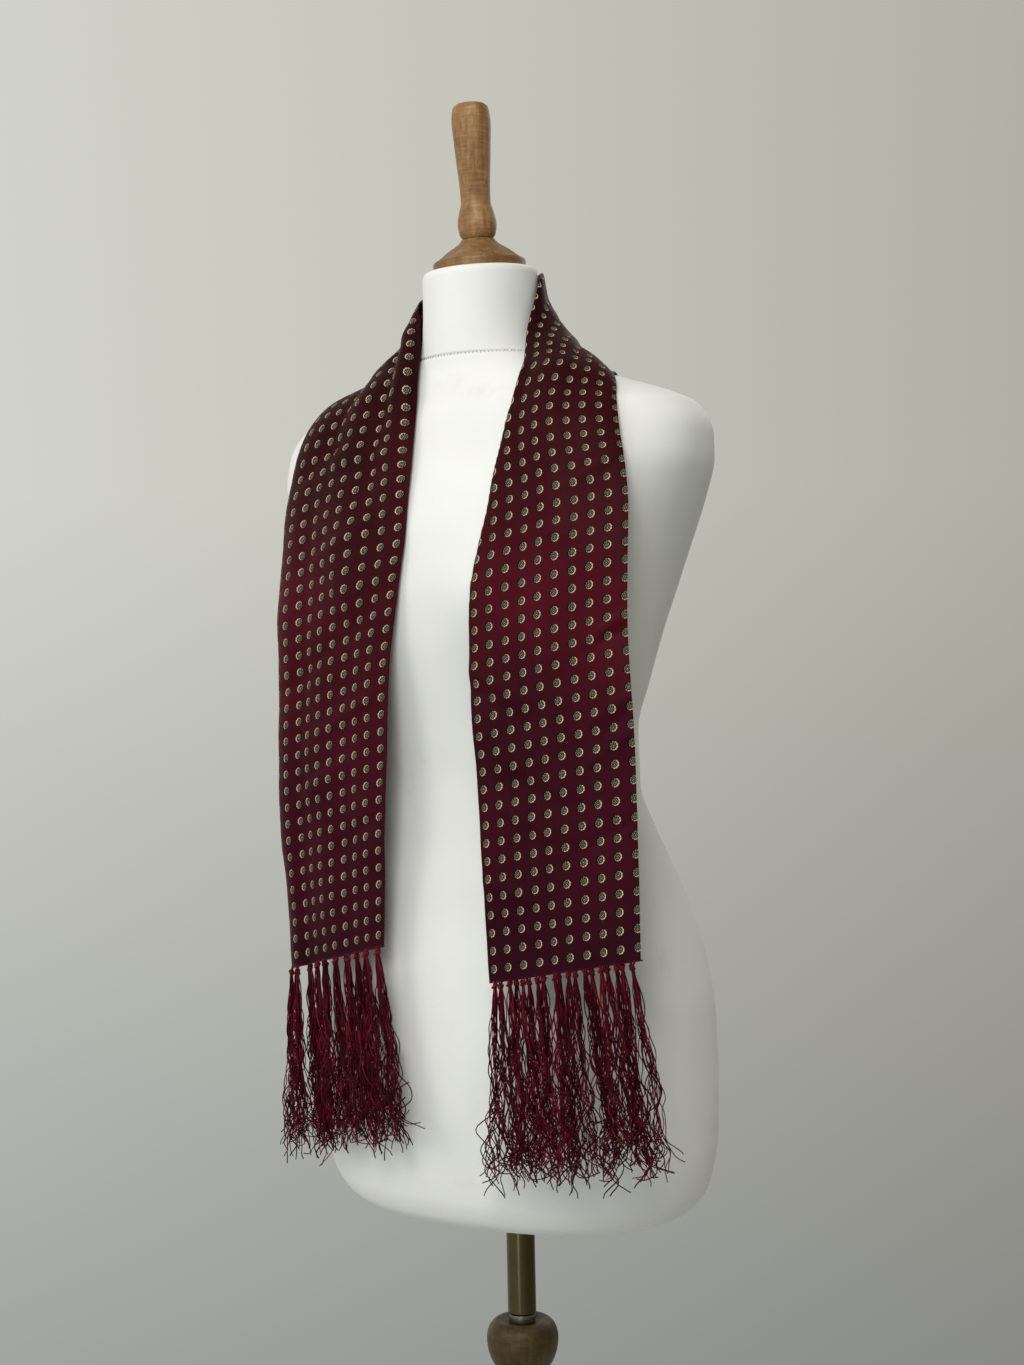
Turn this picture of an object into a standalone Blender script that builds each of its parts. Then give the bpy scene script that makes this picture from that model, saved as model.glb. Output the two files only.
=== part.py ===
"""A silk scarf draped round the neck of a dress form on a turned stand.

Metres, +Z up. The origin is on the floor, on the axis of the pole. The form faces -Y, its left is +X.
"""

import math

import bmesh
import bpy
import numpy as np
from mathutils import Matrix, Vector
from mathutils.bvhtree import BVHTree

MM = 0.001
OBJECT_NAME = "silk_scarf_on_dress_form"
SEAM = 0.3 * MM

# The stand, from the floor up.
BASE_RADIUS = 0.180
BASE_THICKNESS = 0.024
STEM_TOP = 0.699
POLE_RADIUS = 0.0116
COLLAR_RADIUS = 0.0109
COLLAR_HEIGHT = 0.007
TURNED_STEPS = 20

# The form.
FORM_BOTTOM = 0.7965
NECK_TOP = 1.5500
NECK_CENTRE_Y = -0.030
NECK_LEAN = math.radians(4.0)
LEAN_FROM = 1.455
LEAN_OVER = 0.040
FORM_SIDES = 40

# Height of each level section of the form, half its width, its reach in front of the pole and behind it,
# and the exponent of its outline: 2 is an ellipse, and more is squarer.
FORM_COLUMNS = ("height", "half_width", "front", "back", "square")
FORM_SECTIONS = (
    (0.7965, 0.118, 0.076, 0.073, 2.15),
    (0.8000, 0.139, 0.093, 0.090, 2.15),
    (0.8090, 0.1535, 0.104, 0.101, 2.15),
    (0.8250, 0.1635, 0.111, 0.108, 2.15),
    (0.8600, 0.1705, 0.116, 0.114, 2.15),
    (0.9070, 0.1720, 0.120, 0.118, 2.10),
    (0.9600, 0.1715, 0.121, 0.116, 2.10),
    (1.0100, 0.1650, 0.119, 0.108, 2.05),
    (1.0600, 0.1510, 0.115, 0.094, 2.00),
    (1.1000, 0.1340, 0.110, 0.080, 2.00),
    (1.1400, 0.1210, 0.109, 0.071, 2.00),
    (1.1800, 0.1210, 0.113, 0.071, 2.00),
    (1.2200, 0.1310, 0.119, 0.078, 2.05),
    (1.2600, 0.1420, 0.124, 0.087, 2.10),
    (1.3000, 0.1550, 0.127, 0.094, 2.20),
    (1.3350, 0.1690, 0.126, 0.092, 2.30),
    (1.3650, 0.1810, 0.120, 0.084, 2.45),
    (1.3900, 0.1890, 0.110, 0.074, 2.55),
    (1.4100, 0.1900, 0.101, 0.067, 2.50),
    (1.4300, 0.1805, 0.093, 0.061, 2.40),
    (1.4415, 0.1590, 0.087, 0.056, 2.20),
    (1.4520, 0.1290, 0.083, 0.051, 2.10),
    (1.4620, 0.0985, 0.0795, 0.044, 2.00),
    (1.4715, 0.0700, 0.077, 0.031, 2.00),
    (1.4840, 0.0520, 0.0765, 0.020, 2.00),
    (1.5000, 0.0475, 0.0765, 0.0175, 2.00),
    (1.5200, 0.0462, 0.0762, 0.0162, 2.00),
    (1.5440, 0.0462, 0.0762, 0.0162, 2.00),
    (1.5485, 0.0452, 0.0752, 0.0152, 2.00),
    (1.5500, 0.0430, 0.0730, 0.0130, 2.00),
)
BUST_OUT = 0.072
BUST_HEIGHT = 1.285
BUST_REACH = 0.020
BUST_WIDE = 0.048
BUST_TALL = 0.055

# The turned cap and handle on the neck.
CAP_RADIUS = 0.0372
CAP_RIM = 0.0070
CAP_HEIGHT = 0.0250
CAP_TOP_RADIUS = 0.0135
HANDLE_COLUMNS = ("up", "radius")
HANDLE_PROFILE = (
    (0.0000, 0.0118),
    (0.0040, 0.0144),
    (0.0120, 0.0157),
    (0.0215, 0.0140),
    (0.0295, 0.0120),
    (0.0380, 0.0121),
    (0.0570, 0.0134),
    (0.0770, 0.0148),
    (0.0930, 0.0157),
    (0.1000, 0.0151),
    (0.1045, 0.0138),
    (0.1065, 0.0115),
)

# The scarf: silk cut double, folded flat into a tube and laid over the shoulders.
CLOTH_WIDTH = 134.0
CLOTH_WALL = 2.0
CLEAR_OF_FORM = 2.3
ACROSS_STEPS = 11
ROW_STEP = 20.0

# One weft row of the cloth at each station from the nape to a hem, in mm: where its inner edge, next to
# the neck, and its outer edge lie (out from the middle of the body, back, up), how far the row bows away
# from the form, and how much of its width is tucked under at the inner edge.
ROW_COLUMNS = ("in_out", "in_back", "in_up", "out_out", "out_back", "out_up", "bow", "tuck")
NAPE_ROW = (0, 24, 1550, 0, 55, 1453, -7, 30)
LEFT_ROWS = (
    (20, 20, 1551, 45, 52, 1452, -10, 32),
    (34, 10, 1550, 75, 42, 1451, -12, 34),
    (45, -11, 1541, 93, 23, 1453, -9, 35),
    (48, -27, 1518, 109, -6, 1453, 1, 35),
    (52, -43, 1495, 122, -30, 1453, 7, 35),
    (60, -60, 1474, 133, -47, 1449, 10, 35),
    (69, -79, 1458, 141, -59, 1441, 10, 35),
    (68.5, -92, 1433, 148, -71, 1429, 9, 34),
    (67, -101, 1412, 155, -81, 1416, 9, 30),
    (67, -113, 1384, 161, -88, 1397, 9, 22),
    (67.5, -124, 1357, 168, -95, 1378, 8, 13),
    (64, -134, 1325, 174, -102, 1346, 7, 6),
    (59.5, -141, 1288, 176, -108, 1311, 7, 2),
    (58, -142, 1245, 177, -112, 1268, 6, 0),
    (63, -142, 1150, 186, -121, 1172, 5, 0),
    (69, -140, 1000, 193, -131, 1023, 4, 0),
)
RIGHT_ROWS = (
    (20, 20, 1548, 44, 52, 1453, -8, 26),
    (37, 8, 1546, 73, 43, 1453, -10, 20),
    (46, -14, 1542, 95, 26, 1455, -12, 14),
    (47, -32, 1535, 111, 6, 1457, -12, 8),
    (45, -45, 1524, 121, -13, 1458, -12, 4),
    (41, -55, 1511, 127, -30, 1455, -10, 0),
    (36, -63, 1497, 131, -46, 1450, -7, 0),
    (31, -72, 1480, 134, -60, 1445, -2, 0),
    (24, -85, 1461, 138, -70, 1437, 2, 0),
    (19, -95, 1435, 143, -80, 1424, 4, 0),
    (14, -107, 1407, 150, -87, 1394, 5, 0),
    (8, -121, 1373, 153, -97, 1352, 5, 0),
    (6, -131, 1335, 149, -107, 1312, 5, 0),
    (10, -136, 1291, 147, -114, 1267, 5, 0),
    (18, -137.5, 1240, 146, -116, 1215, 4, 0),
    (23, -138.5, 1160, 148, -115, 1134, 4, 0),
    (28.5, -138.5, 1021, 148, -103, 992, 3, 0),
)

# The long soft folds, in mm: at each height of a row's inner edge, where their valleys lie across the cloth
# and how far the lobes between the valleys stand up.
FOLD_COLUMNS = ("height", "valley_1", "valley_2", "lift_1", "lift_2", "lift_3")
LEFT_FOLDS = (
    (1000, 52, 96, 1.0, 1.5, 1.0),
    (1200, 50, 94, 1.5, 2.0, 1.0),
    (1350, 46, 92, 2.0, 2.5, 1.0),
    (1450, 44, 90, 3.0, 3.0, 1.0),
    (1500, 46, 90, 4.0, 3.0, 1.5),
    (1530, 48, 90, 4.5, 2.0, 1.0),
    (1549, 50, 90, 2.0, 1.0, 0.5),
)
RIGHT_FOLDS = (
    (1021, 44, 104, 1.0, 2.5, 4.0),
    (1200, 44, 102, 1.5, 3.0, 4.0),
    (1340, 40, 98, 2.5, 4.0, 4.0),
    (1400, 35, 91, 6.0, 6.0, 4.0),
    (1460, 29, 75, 10.0, 8.0, 5.0),
    (1500, 27, 70, 11.0, 9.0, 6.0),
    (1524, 27, 68, 8.0, 8.0, 5.5),
    (1536, 28, 68, 3.0, 6.0, 4.0),
    (1549, 30, 74, 1.0, 3.0, 2.0),
)

# Where the stretch behind the neck ends and each front begins, as a count of stations from the nape.
LEFT_PART = 4.5
RIGHT_PART = 4.5
PART_GAP = 0.6

# The knotted fringe under each hem, one row from each layer of the tube.
TASSELS = 10
STRIP_DROP = 6.0 * MM
STRIP_WALL = 0.85 * MM
KNOT_RADIUS = 2.9 * MM
KNOT_DROP = 6.0 * MM
KNOT_OUT = 2.75 * MM
STRANDS = 3
STRAND_RADIUS = 0.80 * MM
STRAND_TIP = 0.50 * MM
STRAND_STEPS = 4
ROOT_LANE = 1.5 * MM
TIP_LANE = 4.2 * MM
FRINGE_LENGTH = 0.150
FRINGE_SPREAD = 0.16


def clear_scene():
    for obj in list(bpy.data.objects):
        bpy.data.objects.remove(obj, do_unlink=True)


def collection_of(name):
    made = bpy.data.collections.new(name)
    bpy.context.scene.collection.children.link(made)
    return made


def material(name, colour, roughness, metallic=0.0, sheen=0.0):
    made = bpy.data.materials.new(name)
    made.use_nodes = True
    shader = made.node_tree.nodes["Principled BSDF"]
    shader.inputs["Base Color"].default_value = (*colour, 1.0)
    shader.inputs["Roughness"].default_value = roughness
    shader.inputs["Metallic"].default_value = metallic
    shader.inputs["Sheen Weight"].default_value = sheen
    made.diffuse_color = (*colour, 1.0)
    return made


def object_from(name, points, faces, finish, collection):
    mesh = bpy.data.meshes.new(name)
    mesh.from_pydata([tuple(p) for p in points], [], faces)
    mesh.materials.append(finish)
    mesh.shade_smooth()
    made = bpy.data.objects.new(name, mesh)
    collection.objects.link(made)
    return made


def smooth_through(stations, values, at):
    """Values at these places on a smooth curve through the stations, which doesn't overshoot them."""
    stations = np.asarray(stations, float)
    values = np.asarray(values, float)
    at = np.clip(at, stations[0], stations[-1])
    gap = np.diff(stations)
    slope = np.diff(values) / gap
    tangent = np.empty_like(values)
    tangent[0], tangent[-1] = slope[0], slope[-1]
    same_way = slope[:-1] * slope[1:] > 0
    with np.errstate(divide="ignore", invalid="ignore"):
        mean = 2 * slope[:-1] * slope[1:] / (slope[:-1] + slope[1:])
    tangent[1:-1] = np.where(same_way, mean, 0.0)
    i = np.clip(np.searchsorted(stations, at, side="right") - 1, 0, len(gap) - 1)
    t = (at - stations[i]) / gap[i]
    start = values[i] * (1 + 2 * t) + tangent[i] * gap[i] * t
    end = values[i + 1] * (3 - 2 * t) - tangent[i + 1] * gap[i] * (1 - t)
    return start * (1 - t) ** 2 + end * t**2


def column(name, names, table):
    """One named column of a table, as numbers."""
    return np.array([row[names.index(name)] for row in table], float)


def columns_at(names, table, at):
    """Every column after the first, read off smoothly at these values of the first."""
    stations = column(names[0], names, table)
    return [smooth_through(stations, column(name, names, table), at) for name in names[1:]]


def turned(name, profile, finish, collection, steps=TURNED_STEPS):
    """A solid of revolution about Z: profile is (radius, height) from the top of the axis to its foot."""
    mesh = bpy.data.meshes.new(name)
    points = [(radius, 0.0, height) for radius, height in profile]
    mesh.from_pydata(points, [(i, i + 1) for i in range(len(points) - 1)], [])
    mesh.materials.append(finish)
    made = bpy.data.objects.new(name, mesh)
    collection.objects.link(made)
    screw = made.modifiers.new("Turn", "SCREW")
    screw.steps = steps
    screw.render_steps = steps
    screw.use_merge_vertices = True
    screw.merge_threshold = 1e-5
    screw.use_smooth_shade = True
    return made


def make_base(finish, collection):
    edge = 0.008
    arc = [
        (BASE_RADIUS - edge + edge * math.sin(a), BASE_THICKNESS - edge + edge * math.cos(a))
        for a in np.linspace(0, math.pi / 2, 4)
    ]
    foot = [(BASE_RADIUS - 0.002, 0.0), (0.0, 0.0)]
    return turned("base", [(0.0, BASE_THICKNESS), *arc, *foot], finish, collection, 32)


def make_stem(finish, collection):
    """The turned column: a ball dished at its top, two beads, a long baluster and a foot."""
    foot = BASE_THICKNESS + SEAM
    profile = (
        (0.0000, STEM_TOP),
        (0.0125, STEM_TOP),
        (0.0165, 0.7008),
        (0.0205, 0.7012),
        (0.0250, 0.6985),
        (0.0280, 0.6935),
        (0.0292, 0.6870),
        (0.0285, 0.6790),
        (0.0262, 0.6710),
        (0.0222, 0.6640),
        (0.0165, 0.6580),
        (0.0175, 0.6520),
        (0.0215, 0.6470),
        (0.0225, 0.6400),
        (0.0185, 0.6320),
        (0.0150, 0.6050),
        (0.0170, 0.5200),
        (0.0225, 0.4000),
        (0.0290, 0.2700),
        (0.0325, 0.1900),
        (0.0300, 0.1300),
        (0.0215, 0.0920),
        (0.0215, 0.0820),
        (0.0330, 0.0700),
        (0.0420, 0.0520),
        (0.0440, foot + 0.0080),
        (0.0440, foot),
        (0.0000, foot),
    )
    return turned("stem", profile, finish, collection)


def plain_rod(name, radius, top, foot, finish, collection):
    profile = ((0.0, top), (radius, top), (radius, foot), (0.0, foot))
    return turned(name, profile, finish, collection, 24)


def make_collar(finish, collection):
    """The metal ring between the ball and the pole, a little narrower than the pole."""
    foot = STEM_TOP + SEAM
    return plain_rod("collar", COLLAR_RADIUS, foot + COLLAR_HEIGHT, foot, finish, collection)


def make_pole(finish, collection):
    foot = STEM_TOP + SEAM + COLLAR_HEIGHT + SEAM
    return plain_rod("pole", POLE_RADIUS, FORM_BOTTOM - SEAM, foot, finish, collection)


def bust(x, z):
    """How far the form's front stands out at the bust."""
    level = np.exp(-(((z - BUST_HEIGHT) / BUST_TALL) ** 2))
    left = np.exp(-(((x - BUST_OUT) / BUST_WIDE) ** 2))
    right = np.exp(-(((x + BUST_OUT) / BUST_WIDE) ** 2))
    return BUST_REACH * level * (left + right)


def form_ring(z, sides):
    """The form's outline at this height, whose plane leans forward with the neck above the shoulders."""
    half, front, back, square = columns_at(FORM_COLUMNS, FORM_SECTIONS, z)
    turn = np.linspace(0, 2 * math.pi, sides, endpoint=False)
    across, along = np.cos(turn), np.sin(turn)
    x = half * np.sign(across) * np.abs(across) ** (2 / square)
    y = (back - front) / 2 + (back + front) / 2 * np.sign(along) * np.abs(along) ** (2 / square)
    y -= bust(x, z) * np.clip(-along, 0, 1)
    lean = np.clip((z - LEAN_FROM) / LEAN_OVER, 0, 1) * math.tan(NECK_LEAN)
    return np.stack([x, y, z + (y - NECK_CENTRE_Y) * lean], axis=1)


def make_torso(finish, collection):
    heights = list(column("height", FORM_COLUMNS, FORM_SECTIONS))
    between = [(a + b) / 2 for a, b in zip(heights, heights[1:]) if b - a > 0.044]
    heights = sorted(heights + between)
    rings = [form_ring(z, FORM_SIDES) for z in heights]
    points = np.concatenate(rings)
    faces = []
    for level in range(len(rings) - 1):
        for i in range(FORM_SIDES):
            a = level * FORM_SIDES + i
            b = level * FORM_SIDES + (i + 1) % FORM_SIDES
            faces.append((a, b, b + FORM_SIDES, a + FORM_SIDES))
    faces.append(tuple(reversed(range(FORM_SIDES))))
    last = (len(rings) - 1) * FORM_SIDES
    faces.append(tuple(range(last, last + FORM_SIDES)))
    return object_from("torso", points, faces, finish, collection)


def lean_on_neck(obj, along):
    """Sets a turned piece square on the neck's leaning top, this far along the neck's axis."""
    axis = Vector((0, -math.sin(NECK_LEAN), math.cos(NECK_LEAN)))
    obj.location = Vector((0, NECK_CENTRE_Y, NECK_TOP)) + axis * along
    obj.rotation_euler = (NECK_LEAN, 0, 0)


def make_neck_cap(finish, collection):
    profile = (
        (0.0, CAP_HEIGHT),
        (CAP_TOP_RADIUS, CAP_HEIGHT),
        (CAP_TOP_RADIUS + 0.0005, CAP_HEIGHT - 0.002),
        (CAP_RADIUS - 0.001, CAP_RIM + 0.0012),
        (CAP_RADIUS, CAP_RIM),
        (CAP_RADIUS, 0.0),
        (0.0, 0.0),
    )
    made = turned("neck_cap", profile, finish, collection, 28)
    lean_on_neck(made, SEAM)
    return made


def make_handle(finish, collection):
    ups = column("up", HANDLE_COLUMNS, HANDLE_PROFILE)
    radii = column("radius", HANDLE_COLUMNS, HANDLE_PROFILE)
    profile = [(0.0, ups[-1]), *zip(radii[::-1], ups[::-1]), (0.0, 0.0)]
    made = turned("handle", profile, finish, collection)
    lean_on_neck(made, SEAM + CAP_HEIGHT + SEAM)
    return made


def all_rows():
    """The rows from the right hem over the nape to the left hem, and each one's run from the nape.

    The rows come as a column for each name in ROW_COLUMNS, with the right side's x made negative.
    """
    table = (*RIGHT_ROWS[::-1], NAPE_ROW, *LEFT_ROWS)
    rows = {name: column(name, ROW_COLUMNS, table) for name in ROW_COLUMNS}
    side = np.where(np.arange(len(table)) < len(RIGHT_ROWS), -1, 1)
    rows["in_out"] *= side
    rows["out_out"] *= side
    steps = [np.linalg.norm(np.diff(edge_of(rows, edge), axis=0), axis=1) for edge in ("in", "out")]
    run = np.concatenate([[0], np.cumsum(np.mean(steps, axis=0))])
    return rows, run - run[len(RIGHT_ROWS)]


def edge_of(rows, edge):
    return np.stack([rows[f"{edge}_{way}"] for way in ("out", "back", "up")], axis=1)


def lobes(across, height, left):
    """How far the long soft folds lift the cloth, at these places across it, in mm."""
    valley_1, valley_2, *lifts = columns_at(FOLD_COLUMNS, LEFT_FOLDS if left else RIGHT_FOLDS, height)
    valleys = (0.0, valley_1, valley_2, CLOTH_WIDTH)
    lift = np.zeros_like(across)
    for start, end, high in zip(valleys, valleys[1:], lifts):
        part = (across - start) / (end - start)
        inside = (part >= 0) & (part <= 1)
        lift[inside] += high * np.sin(math.pi * part[inside]) ** 0.8
    return lift


def surface_normals(points):
    """The unit normal of a grid of points, turned away from the form."""
    along = np.gradient(points, axis=0)
    across = np.gradient(points, axis=1)
    normal = np.cross(along, across)
    return normal / np.linalg.norm(normal, axis=2, keepdims=True)


def with_middles(points):
    """The grid with the middle of each edge and each cell added between its points."""
    rows, columns, _ = points.shape
    fine = np.empty((2 * rows - 1, 2 * columns - 1, 3))
    fine[::2, ::2] = points
    fine[1::2, ::2] = (points[1:] + points[:-1]) / 2
    fine[:, 1::2] = (fine[:, :-1:2] + fine[:, 2::2]) / 2
    return fine


def pushed_clear(points, form, clear):
    """The points moved out of the form until they and the cells between them are this clear of it."""
    fine = with_middles(points)
    short = np.zeros((fine.shape[0] + 2, fine.shape[1] + 2))
    outward = np.zeros_like(fine)
    for row, column in np.ndindex(fine.shape[:2]):
        place = Vector(fine[row, column])
        near, normal, _, _ = form.find_nearest(place)
        short[row + 1, column + 1] = max(0.0, clear - (place - near).dot(normal))
        outward[row, column] = normal
    rows, columns = points.shape[:2]
    windows = [short[i:i + 2 * rows:2, j:j + 2 * columns:2] for i in range(3) for j in range(3)]
    push = np.max([window[:rows, :columns] for window in windows], axis=0)
    return points + outward[::2, ::2] * push[:, :, None]


def eased(points):
    """The grid with each inner point drawn halfway to the mean of its neighbours."""
    mean = (points[:-2, 1:-1] + points[2:, 1:-1] + points[1:-1, :-2] + points[1:-1, 2:]) / 4
    smooth = points.copy()
    smooth[1:-1, 1:-1] = (points[1:-1, 1:-1] + mean) / 2
    return smooth


def cloth_grid(runs, shares, form):
    """The middle of the doubled cloth, in metres, at these runs along it and shares of its width."""
    rows, stations = all_rows()
    rows = {name: smooth_through(stations, values, runs) for name, values in rows.items()}
    inner, outer = (edge_of(rows, edge)[:, None] for edge in ("in", "out"))
    flat = (inner + (outer - inner) * shares[None, :, None]) * MM
    lift = np.zeros(flat.shape[:2])
    for i, run in enumerate(runs):
        across = rows["tuck"][i] + (CLOTH_WIDTH - rows["tuck"][i]) * shares
        lift[i] = rows["bow"][i] * 4 * shares * (1 - shares) + lobes(across, rows["in_up"][i], run > 0)
    points = flat + surface_normals(flat) * lift[:, :, None] * MM
    for _ in range(3):
        points = eased(pushed_clear(points, form, CLEAR_OF_FORM * MM))
    return pushed_clear(points, form, CLEAR_OF_FORM * MM)


def part_runs():
    """Where the cloth's three stretches begin and end, as runs from the nape."""
    _, stations = all_rows()
    middle = len(RIGHT_ROWS)
    counts = np.arange(len(stations)) - middle
    right = np.interp(-RIGHT_PART, counts, stations)
    left = np.interp(LEFT_PART, counts, stations)
    return stations[0], right, left, stations[-1]


def grid_faces(rows, columns):
    faces = []
    for i in range(rows - 1):
        for j in range(columns - 1):
            a = i * columns + j
            faces.append((a, a + 1, a + columns + 1, a + columns))
    return faces


def walled(name, grid, wall, finish, collection):
    """An open sheet of points given its thickness evenly to both sides."""
    faces = grid_faces(*grid.shape[:2])
    made = object_from(name, grid.reshape(-1, 3), faces, finish, collection)
    solid = made.modifiers.new("Wall", "SOLIDIFY")
    solid.thickness = wall
    solid.offset = 0.0
    solid.use_even_offset = False
    return made


def make_scarf(form, finish, collection):
    right_hem, right_part, left_part, left_hem = part_runs()
    half_gap = PART_GAP / 2
    stretches = (
        ("scarf_right_front", right_hem, right_part - half_gap),
        ("scarf_neck", right_part + half_gap, left_part - half_gap),
        ("scarf_left_front", left_part + half_gap, left_hem),
    )
    shares = np.linspace(0, 1, ACROSS_STEPS + 1)
    runs = np.unique(np.concatenate([
        np.linspace(start, end, max(2, round((end - start) / ROW_STEP)) + 1)
        for _, start, end in stretches
    ]))
    grid = cloth_grid(runs, shares, form)
    for name, start, end in stretches:
        inside = (runs >= start - 1e-6) & (runs <= end + 1e-6)
        walled(name, grid[inside], CLOTH_WALL * MM, finish, collection)
    return grid


def hem_curve(row, normals, shares):
    """Points and normals at these shares of a hem's length."""
    steps = np.linalg.norm(np.diff(row, axis=0), axis=1)
    length = np.concatenate([[0], np.cumsum(steps)])
    at = np.asarray(shares) * length[-1]
    points = np.stack([np.interp(at, length, row[:, i]) for i in range(3)], axis=1)
    facing = np.stack([np.interp(at, length, normals[:, i]) for i in range(3)], axis=1)
    return points, facing / np.linalg.norm(facing, axis=1, keepdims=True)


def joined_mesh(name, shapes, collection):
    """One hidden mesh from several closed shapes that don't touch each other."""
    points, faces = [], []
    for shape_points, shape_faces in shapes:
        first = len(points)
        points += [tuple(p) for p in shape_points]
        faces += [tuple(first + i for i in face) for face in shape_faces]
    mesh = bpy.data.meshes.new(name)
    mesh.from_pydata(points, [], faces)
    made = bpy.data.objects.new(name, mesh)
    made.hide_render = True
    made.display_type = "WIRE"
    collection.objects.link(made)
    return made


def knot_shape(centre):
    """A small round knot."""
    ball = bmesh.new()
    bmesh.ops.create_icosphere(ball, subdivisions=1, radius=KNOT_RADIUS)
    bmesh.ops.transform(ball, matrix=Matrix.Diagonal((0.85, 0.85, 1.15, 1.0)), verts=ball.verts)
    points = [vert.co + Vector(centre) for vert in ball.verts]
    faces = [tuple(vert.index for vert in face.verts) for face in ball.faces]
    ball.free()
    return points, faces


def strand_shape(path):
    """A three-sided strand along a path, thinner towards its tip."""
    points, faces = [], []
    corners = np.radians((90, 210, 330))
    for step, place in enumerate(path):
        part = step / (len(path) - 1)
        radius = STRAND_RADIUS + (STRAND_TIP - STRAND_RADIUS) * part
        points += [place + radius * np.array((math.cos(a), math.sin(a), 0.0)) for a in corners]
    for step in range(len(path) - 1):
        for side in range(3):
            a, b = 3 * step + side, 3 * step + (side + 1) % 3
            faces.append((a + 3, b + 3, b, a))
    last = 3 * (len(path) - 1)
    return points, [(0, 1, 2), *faces, (last + 2, last + 1, last)]


def strand_path(root, lane, facing, share, number):
    """A strand's middle line, from inside its knot down to its tip, leaning with its lane."""
    length = FRINGE_LENGTH * (0.93 + 0.07 * math.sin(1.7 * number))
    places = []
    for part in np.linspace(0, 1, STRAND_STEPS + 1):
        sway = 4.0 * MM * math.sin(2.2 * math.pi * part + 5.0 * share) * part
        places.append(root + lane * part**0.8 + facing * sway + np.array((0, 0, -length * part)))
    return places


def make_fringe(name, hem, normals, pivot, layer, finish, collection, cutters):
    """One layer's fringe: a strip parted from the hem, its knots, and the strands that hang from them.

    The strands spread away from the pivot, the end of the hem whose strands hang straight.
    """
    shift = normals * layer * (STRIP_WALL / 2 + SEAM / 2)
    down = np.array((0, 0, -1.0))
    strip = np.stack([hem + shift + down * SEAM, hem + shift + down * STRIP_DROP])
    made = walled(name, strip, STRIP_WALL, finish, collection)
    offset = 0.5 if layer > 0 else 1.0
    count = TASSELS if layer > 0 else TASSELS - 1
    shares = (np.arange(count) + offset) / TASSELS
    places, facings = hem_curve(hem, normals, shares)
    knots, strands = [], []
    for tassel, (share, place, facing) in enumerate(zip(shares, places, facings)):
        centre = place + down * KNOT_DROP + facing * layer * KNOT_OUT
        knots.append(knot_shape(centre))
        spread = (place - pivot) * FRINGE_SPREAD
        side = np.cross(facing, down)
        for k in range(STRANDS):
            aside = side * (k - (STRANDS - 1) / 2)
            root = centre + aside * ROOT_LANE
            lane = aside * (TIP_LANE - ROOT_LANE) + spread * np.array((1, 1, 0))
            path = strand_path(root, lane, facing, share, tassel * STRANDS + k)
            strands.append(strand_shape(path))
    for label, shapes in (("knots", knots), ("strands", strands)):
        cutter = joined_mesh(f"{name}_{label}", shapes, cutters)
        union = made.modifiers.new(label, "BOOLEAN")
        union.operation = "UNION"
        union.object = cutter
    return made


def main():
    clear_scene()
    parts = collection_of(OBJECT_NAME)
    cutters = collection_of("cutters")
    jersey = material("white_jersey", (0.80, 0.79, 0.75), 0.9, sheen=0.3)
    wood = material("turned_wood", (0.19, 0.095, 0.042), 0.38)
    metal = material("pole_metal", (0.42, 0.36, 0.28), 0.22, metallic=1.0)
    silk = material("burgundy_silk", (0.085, 0.010, 0.018), 0.42, sheen=0.2)
    thread = material("crimson_thread", (0.14, 0.008, 0.016), 0.5, sheen=0.2)

    make_base(wood, parts)
    make_stem(wood, parts)
    make_collar(metal, parts)
    make_pole(metal, parts)
    torso = make_torso(jersey, parts)
    make_neck_cap(wood, parts)
    make_handle(wood, parts)

    form = BVHTree.FromPolygons(
        [tuple(vert.co) for vert in torso.data.vertices],
        [tuple(face.vertices) for face in torso.data.polygons],
    )
    grid = make_scarf(form, silk, parts)
    normals = surface_normals(grid)
    for side, end, still in (("right", 0, -1), ("left", -1, 0)):
        for label, layer in (("front", 1), ("back", -1)):
            name = f"fringe_{side}_{label}"
            hem = grid[end]
            make_fringe(name, hem, normals[end], hem[still], layer, thread, parts, cutters)


main()
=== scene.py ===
"""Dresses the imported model: a silk scarf with a knotted fringe, hung on a dress form.

Metres unless a name or a note says mm. The form faces -Y and its left is +X. Z is up from the floor.
"""

import math

import bpy
import numpy as np
from mathutils import Matrix, Vector
from mathutils.bvhtree import BVHTree


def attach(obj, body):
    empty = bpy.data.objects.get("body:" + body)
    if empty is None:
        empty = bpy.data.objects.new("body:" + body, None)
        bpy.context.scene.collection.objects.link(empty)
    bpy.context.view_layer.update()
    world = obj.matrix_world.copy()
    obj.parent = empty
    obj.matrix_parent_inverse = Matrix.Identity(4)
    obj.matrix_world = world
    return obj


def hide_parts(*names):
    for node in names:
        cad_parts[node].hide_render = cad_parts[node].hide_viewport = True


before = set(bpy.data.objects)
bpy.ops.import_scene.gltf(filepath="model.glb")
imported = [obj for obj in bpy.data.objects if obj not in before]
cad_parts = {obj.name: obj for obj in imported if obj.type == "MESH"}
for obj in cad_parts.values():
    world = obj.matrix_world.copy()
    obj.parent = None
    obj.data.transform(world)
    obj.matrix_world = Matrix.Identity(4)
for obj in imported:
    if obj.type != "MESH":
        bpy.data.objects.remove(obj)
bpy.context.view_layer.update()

MM = 0.001

# The photograph's camera: turned to the form's left, level, with a slight roll.
CAMERA_TURN = math.radians(33.0)
CAMERA_AWAY = 1.55
CAMERA_HEIGHT = 1.22
CAMERA_ASIDE = 0.0025
CAMERA_ROLL = 0.021
FOCAL_PIXELS = 1900.0
PICTURE_HEIGHT = 1365
FLOOR_RADIUS = 1.7
FLOOR_SIDES = 96

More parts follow.
